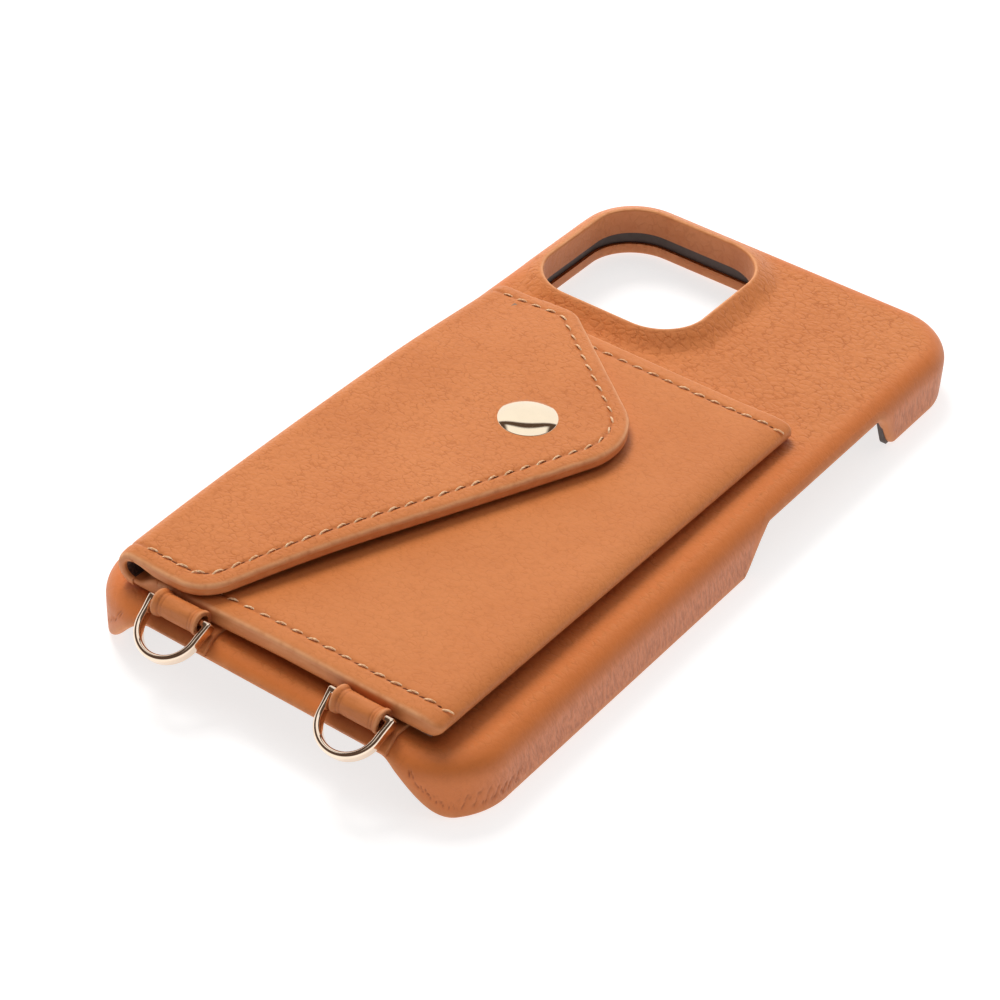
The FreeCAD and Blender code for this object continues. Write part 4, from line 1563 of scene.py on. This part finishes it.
def rowObject(name, rows, unit, material, tree, slant, wander, seed, body):
    # rows are lists of n x 3 points in millimetres
    verts = []
    edges = []
    for row in rows:
        start = len(verts)
        verts.extend((row * mm).tolist())
        edges.extend([(start + i, start + i + 1) for i in range(len(row) - 1)])
    mesh = bpy.data.meshes.new(name + "Rows")
    mesh.from_pydata(verts, edges, [])
    carrier = bpy.data.objects.new(name + "Rows", mesh)
    bpy.context.scene.collection.objects.link(carrier)
    modifier = carrier.modifiers.new("rows", "NODES")
    modifier.node_group = tree
    ids = {s.name: s.identifier for s in tree.interface.items_tree if s.in_out == "INPUT"}
    modifier[ids["Unit"]] = unit
    modifier[ids["Pitch"]] = stitch["pitch"] * mm
    modifier[ids["Slant"]] = math.radians(slant)
    modifier[ids["Wander"]] = math.radians(wander)
    modifier[ids["Seed"]] = seed
    modifier[ids["Material"]] = material
    bpy.context.view_layer.update()
    graph = bpy.context.evaluated_depsgraph_get()
    made = bpy.data.meshes.new_from_object(carrier.evaluated_get(graph))
    made.name = name
    bpy.data.objects.remove(carrier)
    obj = bpy.data.objects.new(name, made)
    bpy.context.scene.collection.objects.link(obj)
    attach(obj, body)
    print(name, len(made.vertices), "points")
    return obj


def shiftAlong(row, distance):
    # the same row without its first stretch, so that units fall between the others
    steps = np.linalg.norm(np.diff(row, axis=0), axis=1)
    at = np.concatenate([[0], np.cumsum(steps)])
    where = np.arange(distance, at[-1], 0.3)
    return np.column_stack([np.interp(where, at, row[:, k]) for k in range(3)])


def buildStitches():
    unit = stitchMesh()
    holeShade = holeShadeMesh()
    tree = rowTree()
    # the pouch's two ends, from the folded side to the mouth
    xs = np.arange(pouchHi[0] - 0.95, pouchInLo[0] + 4.4, -0.3)
    rows = []
    for far in (False, True):
        row = []
        for x in xs:
            share, mid, cut = pouchShape(x)
            y = pouchHi[1] - cut - pouch["seam"] if far else pouchLo[1] + cut + pouch["seam"]
            row.append((x, y, mid + (pouch["half"] - pouch["seamDepth"]) * share + float(lift(x, y))))
        rows.append(np.array(row))
    between = [shiftAlong(r, stitch["pitch"] / 2) for r in rows]
    rowObject("pouchStitches", rows, unit, threadLook, tree, stitch["slant"], 3.0, 3, "case")
    # dark lenses between the stitches: painted shade of the needle holes
    rowObject("pouchHoles", between, holeShade, holeShadeLook, tree, stitch["slant"] * 0.6, 4.0, 5, "case")
    # round the flap
    base, out = flapPath(0.4)
    xy = base - out * flap["seam"]
    xy = xy[xy[:, 0] > flapLo[0] + stitch["length"] / 2 + 0.35]
    row = np.column_stack([xy, flapHi[2] + flapBase(xy[:, 0], xy[:, 1]) - flap["seamDepth"]])
    between = [shiftAlong(row, stitch["pitch"] / 2)]
    rowObject("flapStitches", [row], unit, threadLook, tree, stitch["slant"], 3.0, 11, "flap")
    rowObject("flapHoles", between, holeShade, holeShadeLook, tree, stitch["slant"] * 0.6, 4.0, 13, "flap")
    bpy.data.objects.remove(unit)
    bpy.data.objects.remove(holeShade)


buildStitches()

# metal parts

ring = {
    "flare": 0.38,
    "half": 5.8,
    "reach": 2.9,
    "wall": 1.2,
    "depth": 2.2,
    "round": 0.56,
    "droop": 32.0,
    "corner": 0.45,
    "innerCorner": 0.10,
}


def ringOutline(half, back, corner):
    # D outline: straight bar at the back, two straight sides, then a half circle
    points = []
    for t in np.linspace(0, 1, 15):
        points.append(((2 * t - 1) * (half - corner), back))
    for a in np.linspace(-90, 0, 8)[1:]:
        points.append(arcPoint((half - corner, back + corner), corner, a))
    for t in np.linspace(0, 1, 5)[1:]:
        points.append((half, back + corner + (ring["reach"] - back - corner) * t))
    for a in np.linspace(0, 180, 57)[1:]:
        points.append(arcPoint((0, ring["reach"]), half, a))
    for t in np.linspace(0, 1, 5)[1:]:
        points.append((-half, ring["reach"] - (ring["reach"] - back - corner) * t))
    for a in np.linspace(180, 270, 8)[1:-1]:
        points.append(arcPoint((-half + corner, back + corner), corner, a))
    points = np.array(points)
    # the legs open out a little towards the bar
    legs = smoothstep((np.abs(points[:, 0]) - 3.0) / 2.0)
    opened = legs * (1 - smoothstep((points[:, 1] + 0.6) / (ring["reach"] + 1.2)))
    points[:, 0] += np.sign(points[:, 0]) * ring["flare"] * opened
    return points


def buildRing(name, node, joint, body, seat):
    centre = jointMm(joint) + np.array([0, *seat])
    wall = ring["wall"]
    outer = ringOutline(ring["half"], -wall / 2, ring["corner"])
    inner = ringOutline(ring["half"] - wall, wall / 2, ring["innerCorner"])
    r = ring["round"]
    corners = []
    for cx, cy, a0 in ((1, 1, 0), (-1, 1, 90), (-1, -1, 180), (1, -1, 270)):
        for a in np.linspace(a0, a0 + 90, 8):
            corners.append((cx, cy, *arcPoint((0, 0), 1, a)))
    tilt = math.radians(ring["droop"])
    rows = []
    for po, pi in zip(outer, inner):
        across = (po - pi) / np.linalg.norm(po - pi)
        width = np.linalg.norm(po - pi) / 2
        section = []
        for cx, cy, ca, sa in corners:
            flat = (po + pi) / 2 + across * (cx * (width - r) + r * ca)
            up = cy * (ring["depth"] / 2 - r) + r * sa
            section.append((
                centre[0] + flat[0],
                centre[1] - flat[1] * math.cos(tilt) - up * math.sin(tilt),
                centre[2] - flat[1] * math.sin(tilt) + up * math.cos(tilt),
            ))
        rows.append(section)
    bag = newBag()
    addGrid(bag, np.array(rows), closeRows=True, closeCols=True)
    fixNormals(buildPiece(name, bag, [roseGold], sharp=80, body=body, replaced=(node,)))


buildRing("ringLeft", "d_ring_left", "ring_left_swing", "ring_left", (0.0, 0.0))
buildRing("ringRight", "d_ring_right", "ring_right_swing", "ring_right", (0.30, 0.40))


def revolve(profile, centre, segments=96):
    rows = []
    a = np.linspace(0, 2 * math.pi, segments, endpoint=False)
    for r, z in profile:
        rows.append(columns(*onCircle(centre, r, a), z))
    return np.array(rows)


snap = {"radius": 5.1, "slope": 27.0, "power": 1.15, "rimRound": 0.22, "sink": 0.20}


def buildCap():
    centre = (capLo + capHi) / 2
    base = flapHi[2] - snap["sink"] + float(flapBase(np.array([centre[0]]), np.array([centre[1]]))[0])
    rad = snap["radius"]
    rr = snap["rimRound"]
    profile = [(0.001, base - 0.3), (rad - 0.5, base - 0.3), (rad - rr, base - 0.02)]
    for a in np.linspace(-90, 45, 9):
        profile.append(arcPoint((rad - rr, base + rr), rr, a))
    # the dome is nearly part of a sphere and meets the rim at the given slope
    inner = rad - rr * 0.35
    power = snap["power"] + 1
    height = math.tan(math.radians(snap["slope"])) * inner / power
    top = base + rr * 1.75
    for t in np.linspace(0, 1, 30):
        r = inner * math.cos(t * math.pi / 2)
        profile.append((max(r, 0.001), top + height * (1 - (r / inner) ** power)))
    bag = newBag()
    addGrid(bag, revolve(profile, centre), closeCols=True)
    obj = buildPiece("snapCap", bag, [paleGold], sharp=60, body="flap", replaced=("snap_cap",))
    fixNormals(obj)


buildCap()

# the strap loops

strap = {
    "roll": 4.38,
    "collar": 0.12,
    "groove": 0.07,
    "flare": (0.26, 0.05),
    "hole": 1.36,
    "tail": 6.5,
    "tailThick": 0.7,
    "endLevel": 9.15,
}


def buildRoll(bag, centre, radius, collars, seed):
    around = np.linspace(0, 2 * math.pi, 80, endpoint=False)
    roll = strap["roll"]
    ends = [0.02, 0.05, 0.10, 0.18, 0.30, 0.45]
    xs = np.concatenate([
        [-roll + d for d in ends],
        np.linspace(-roll + 0.6, roll - 0.6, 56),
        [roll - d for d in ends[::-1]],
    ])
    under = np.exp(-((np.abs(np.mod(around - 1.5 * math.pi + math.pi, 2 * math.pi) - math.pi) / 0.75) ** 2))
    rows = Rows()
    for x in xs:
        fromEnd = roll - abs(x)
        collar = collars[0] if x < 0 else collars[1]
        flare = strap["flare"][0 if x < 0 else 1] * (1 - smoothstep((fromEnd - 0.2) / (collar + 0.6)))
        raised = strap["collar"] * (1 - smoothstep((fromEnd - collar) / 0.25))
        rad = radius - strap["collar"] + raised + flare
        crease = sum(math.exp(-(((fromEnd - collar - g) / 0.13) ** 2)) for g in (0.25, 0.85))
        rad -= strap["groove"] * crease + float(edgeProfile(fromEnd, 0.34)) * 0.9
        uneven = 0.035 * np.sin(around * 3 + seed) + 0.03 * np.sin(around * 5 + x * 0.8 + seed)
        # near the roll's ends, a pale line of burnished rub and painted highlight, kept off the underside
        rows.add(
            columns(centre[0] + x, *onCircle(centre[1:], rad + uneven, around)),
            columns(x, around * radius, seed),
            edge=np.clip(1 - fromEnd / 0.4, 0, 1),
            shade=np.clip(0.35 * crease + 0.7 * under, 0, 1),
            rub=0.5 * math.exp(-(((fromEnd - 0.3) / 0.2) ** 2)) * (1 - under),
        )
    rows = rows.build(bag, closeCols=True)
    # the ends run in to the bore, which closes the piece
    bore = []
    for x in np.linspace(-roll + 0.02, roll - 0.02, 8):
        bore.append(columns(centre[0] + x, *onCircle(centre[1:], strap["hole"], around)))
    addGrid(bag, np.array(bore), closeCols=True, flip=True, edge=0.8, shade=0.6)
    for row, hole in ((rows[0], bore[0]), (rows[-1], bore[-1])):
        addGrid(bag, np.array([row, hole]), closeCols=True, edge=1.0)


def buildStrap(name, node, joint, collars, seed):
    centre = jointMm(joint)
    hi = boxMm(node)[1]
    bag = newBag()
    buildRoll(bag, centre, hi[2] - centre[2], collars, seed)
    # the tail runs from under the pouch over the rounded end of the case
    filletY = -case["halfY"] + case["fillet"]
    filletZ = case["back"] - case["fillet"]
    tail = []
    inside = []
    for y, thick in ((pouchLo[1] + 3.5, 0.5), (pouchLo[1] + 1.0, 0.6)):
        tail.append((y, case["back"] + 0.02 + thick))
        inside.append((y, case["back"] + 0.02))
    endAngle = math.degrees(math.asin((strap["endLevel"] - filletZ) / case["fillet"]))
    for a in np.linspace(90, endAngle, 18):
        for line, off in ((tail, strap["tailThick"] + 0.03), (inside, 0.10)):
            line.append(arcPoint((filletY, filletZ), case["fillet"] + off, 180 - a))
    tail = np.array(tail)
    inside = np.array(inside)
    count = len(tail)
    half = strap["tail"] - 0.35 * (1 - smoothstep(np.linspace(0, 1, count) * 1.6))
    outward = (tail - inside) / np.linalg.norm(tail - inside, axis=1)[:, None]
    run = np.cumsum(np.concatenate([[0], np.linalg.norm(np.diff(tail, axis=0), axis=1)]))
    # towards the free end the leather is rounded over too
    endDrop = edgeProfile(run[-1] - run, 0.3)
    shadow = 0.75 * np.exp(-(((tail[:, 0] - (centre[1] - 0.1)) / 1.3) ** 2))
    grid = []
    grain = []
    edge = []
    shade = []
    offsets = [0, 0.03, 0.10, 0.22, 0.4, 0.8]
    between = [(0, t) for t in np.linspace(0, 1, 17)[1:-1]]
    spans = [(-1, d) for d in offsets] + between + [(1, d) for d in offsets[::-1]]
    for side, value in spans:
        x = side * (half - value) if side else (2 * half - 1.6) * value - (half - 0.8)
        drop = float(edgeProfile(value, 0.3)) if side else 0.0
        grid.append(np.column_stack([centre[0] + x, tail - outward * np.maximum(drop, endDrop)[:, None]]))
        grain.append(columns(x, run, seed))
        edge.append(np.clip(1 - np.minimum(value if side else 9.0, run[-1] - run) / 0.5, 0, 1))
        shade.append(shadow * (1.0 if abs(float(np.mean(x))) < 4.6 else 0.35))
    lowLeft = np.column_stack([centre[0] - half, inside])
    lowRight = np.column_stack([centre[0] + half, inside])
    full = np.concatenate([[lowLeft], grid, [lowRight]])
    fullGrain = np.concatenate([[grain[0]], grain, [grain[-1]]])
    fullEdge = np.concatenate([[np.ones(count)], edge, [np.ones(count)]])
    fullShade = np.concatenate([[shade[0]], shade, [shade[-1]]])
    addGrid(bag, full, fullGrain, edge=fullEdge, shade=fullShade)
    under = full.copy()
    under[:, :, 1:] = inside
    addGrid(bag, under, edge=0.2)
    for end in (0, -1):
        addGrid(bag, np.array([full[:, end], under[:, end]]), edge=1.0)
    fixNormals(buildPiece(
        name, bag, [leatherStrap], sharp=60, body="case", replaced=(node,),
    ))


buildStrap("strapLeft", "strap_loop_left", "ring_left_swing", (1.0, 0.7), 71.0)
buildStrap("strapRight", "strap_loop_right", "ring_right_swing", (0.9, 0.7), 83.0)

# nodes that show as they come

carried = {
    "inner_shell": trayPlastic,
    "shell_lining": microfibre,
    "pouch_bond": adhesive,
    "pouch_lining": darkSuede,
    "flap_stiffener": board,
    "snap_socket": paleGold,
    "snap_spring": steel,
    "snap_stud": paleGold,
    "snap_post": paleGold,
}
for nodeName, material in carried.items():
    node = frame["nodes"][nodeName]
    if not node.material_slots:
        node.data.materials.append(material)
    for s in node.material_slots:
        s.material = material
print("carried nodes painted")

# floor, lights and camera

studio = {
    "back": (-0.568, 0.823, 0.0),
    "side": (0.823, 0.568, 0.0),
    "dim": (0.095, 0.062, 0.046, 1),
    "bright": (1.06, 1.06, 1.06, 1),
    "key": ((-0.47, 0.27, 0.84), 0.42, 7.4),
    "floor": 0.42,
    "floorGlow": 0.74,
}


def buildStage():
    size = 1.6
    mesh = bpy.data.meshes.new("floor")
    corners = [(x * size, y * size, 0) for x, y in ((-1, -1), (1, -1), (1, 1), (-1, 1))]
    mesh.from_pydata(corners, [], [(0, 1, 2, 3)])
    floor = bpy.data.objects.new("floor", mesh)
    bpy.context.scene.collection.objects.link(floor)
    floor.location.z = -0.00005
    tone = studio["floor"]
    mat, _, shader = newMaterial("floorWhite", (tone, tone, tone), 0.8)
    shader.inputs["Specular IOR Level"].default_value = 0.05
    shader.inputs["Emission Color"].default_value = (1.0, 1.0, 1.0, 1)
    shader.inputs["Emission Strength"].default_value = studio["floorGlow"]
    floor.data.materials.append(mat)


def buildWorld():
    # a bright wall behind, a bright horizon, and a strip overhead in a dim ceiling
    world = bpy.data.worlds.new("studio")
    bpy.context.scene.world = world
    world.use_nodes = True
    n = Nodes(world.node_tree)
    facing = n.add("ShaderNodeTexCoord").outputs["Generated"]

    def along(direction):
        node = n.add("ShaderNodeVectorMath", operation="DOT_PRODUCT")
        n.put(facing, node.inputs[0])
        node.inputs[1].default_value = direction
        return node.outputs["Value"]

    up = along((0.0, 0.0, 1.0))
    back = along(studio["back"])
    side = n.math("ABSOLUTE", along(studio["side"]))
    edge = n.math("SUBTRACT", back, n.math("MULTIPLY", n.math("MULTIPLY", side, side), 1.15))
    wall = n.ramp(n.math("SUBTRACT", edge, n.math("MULTIPLY", up, 0.455)), -0.03, 0.05)
    away = n.math("MULTIPLY", n.ramp(back, 0.15, 0.35), n.ramp(up, 0.35, 0.50, 1.0, 0.0))
    wall = n.math("MAXIMUM", wall, away)
    wall = n.math("MULTIPLY", wall, n.ramp(back, 0.15, 0.35))
    horizon = n.ramp(up, 0.16, 0.30, 1.0, 0.0)
    strip = n.ramp(n.math("SUBTRACT", edge, n.math("MULTIPLY", up, 0.250)), -0.05, 0.03, 1.0, 0.0)
    strip = n.math("MULTIPLY", strip, n.ramp(side, 0.44, 0.52, 1.0, 0.0))
    strip = n.math("MULTIPLY", strip, n.ramp(back, -0.38, -0.28))
    strip = n.math("MULTIPLY", strip, n.ramp(up, 0.3, 0.5))
    level = n.math("MAXIMUM", n.math("MAXIMUM", wall, horizon), strip)
    background = world.node_tree.nodes["Background"]
    n.put(n.mix(level, studio["dim"], studio["bright"]), background.inputs["Color"])
    background.inputs["Strength"].default_value = 1.0


def addLight(name, place, size, power, color):
    data = bpy.data.lights.new(name, "AREA")
    data.energy = power
    data.color = color
    data.shape = "SQUARE"
    data.size = size
    obj = bpy.data.objects.new(name, data)
    obj.location = place
    obj.rotation_mode = "QUATERNION"
    obj.rotation_quaternion = (-Vector(place)).to_track_quat("-Z", "Y")
    obj.visible_glossy = False
    bpy.context.scene.collection.objects.link(obj)


buildStage()
buildWorld()
addLight("keyLight", *studio["key"], (1.0, 0.99, 0.97))

camera = {
    "at": (0.213079, -0.322769, 0.301676),
    "azimuth": 34.637,
    "elevation": 38.054,
    "roll": 2.927,
    "lens": 104.765,
}


def buildCamera():
    a = math.radians(camera["azimuth"])
    e = math.radians(camera["elevation"])
    r = math.radians(camera["roll"])
    back = Vector((math.sin(a) * math.cos(e), -math.cos(a) * math.cos(e), math.sin(e)))
    right = (-back).cross(Vector((0, 0, 1))).normalized()
    up = right.cross(-back)
    right, up = right * math.cos(r) + up * math.sin(r), -right * math.sin(r) + up * math.cos(r)
    data = bpy.data.cameras.new("camera")
    data.lens = camera["lens"]
    data.sensor_width = 36.0
    data.clip_start = 0.01
    data.clip_end = 20.0
    obj = bpy.data.objects.new("camera", data)
    m = Matrix((right, up, back)).transposed().to_4x4()
    m.translation = Vector(camera["at"])
    obj.matrix_world = m
    bpy.context.scene.collection.objects.link(obj)
    bpy.context.scene.camera = obj


buildCamera()
bpy.context.scene.view_settings.view_transform = "Standard"
bpy.context.scene.view_settings.look = "None"
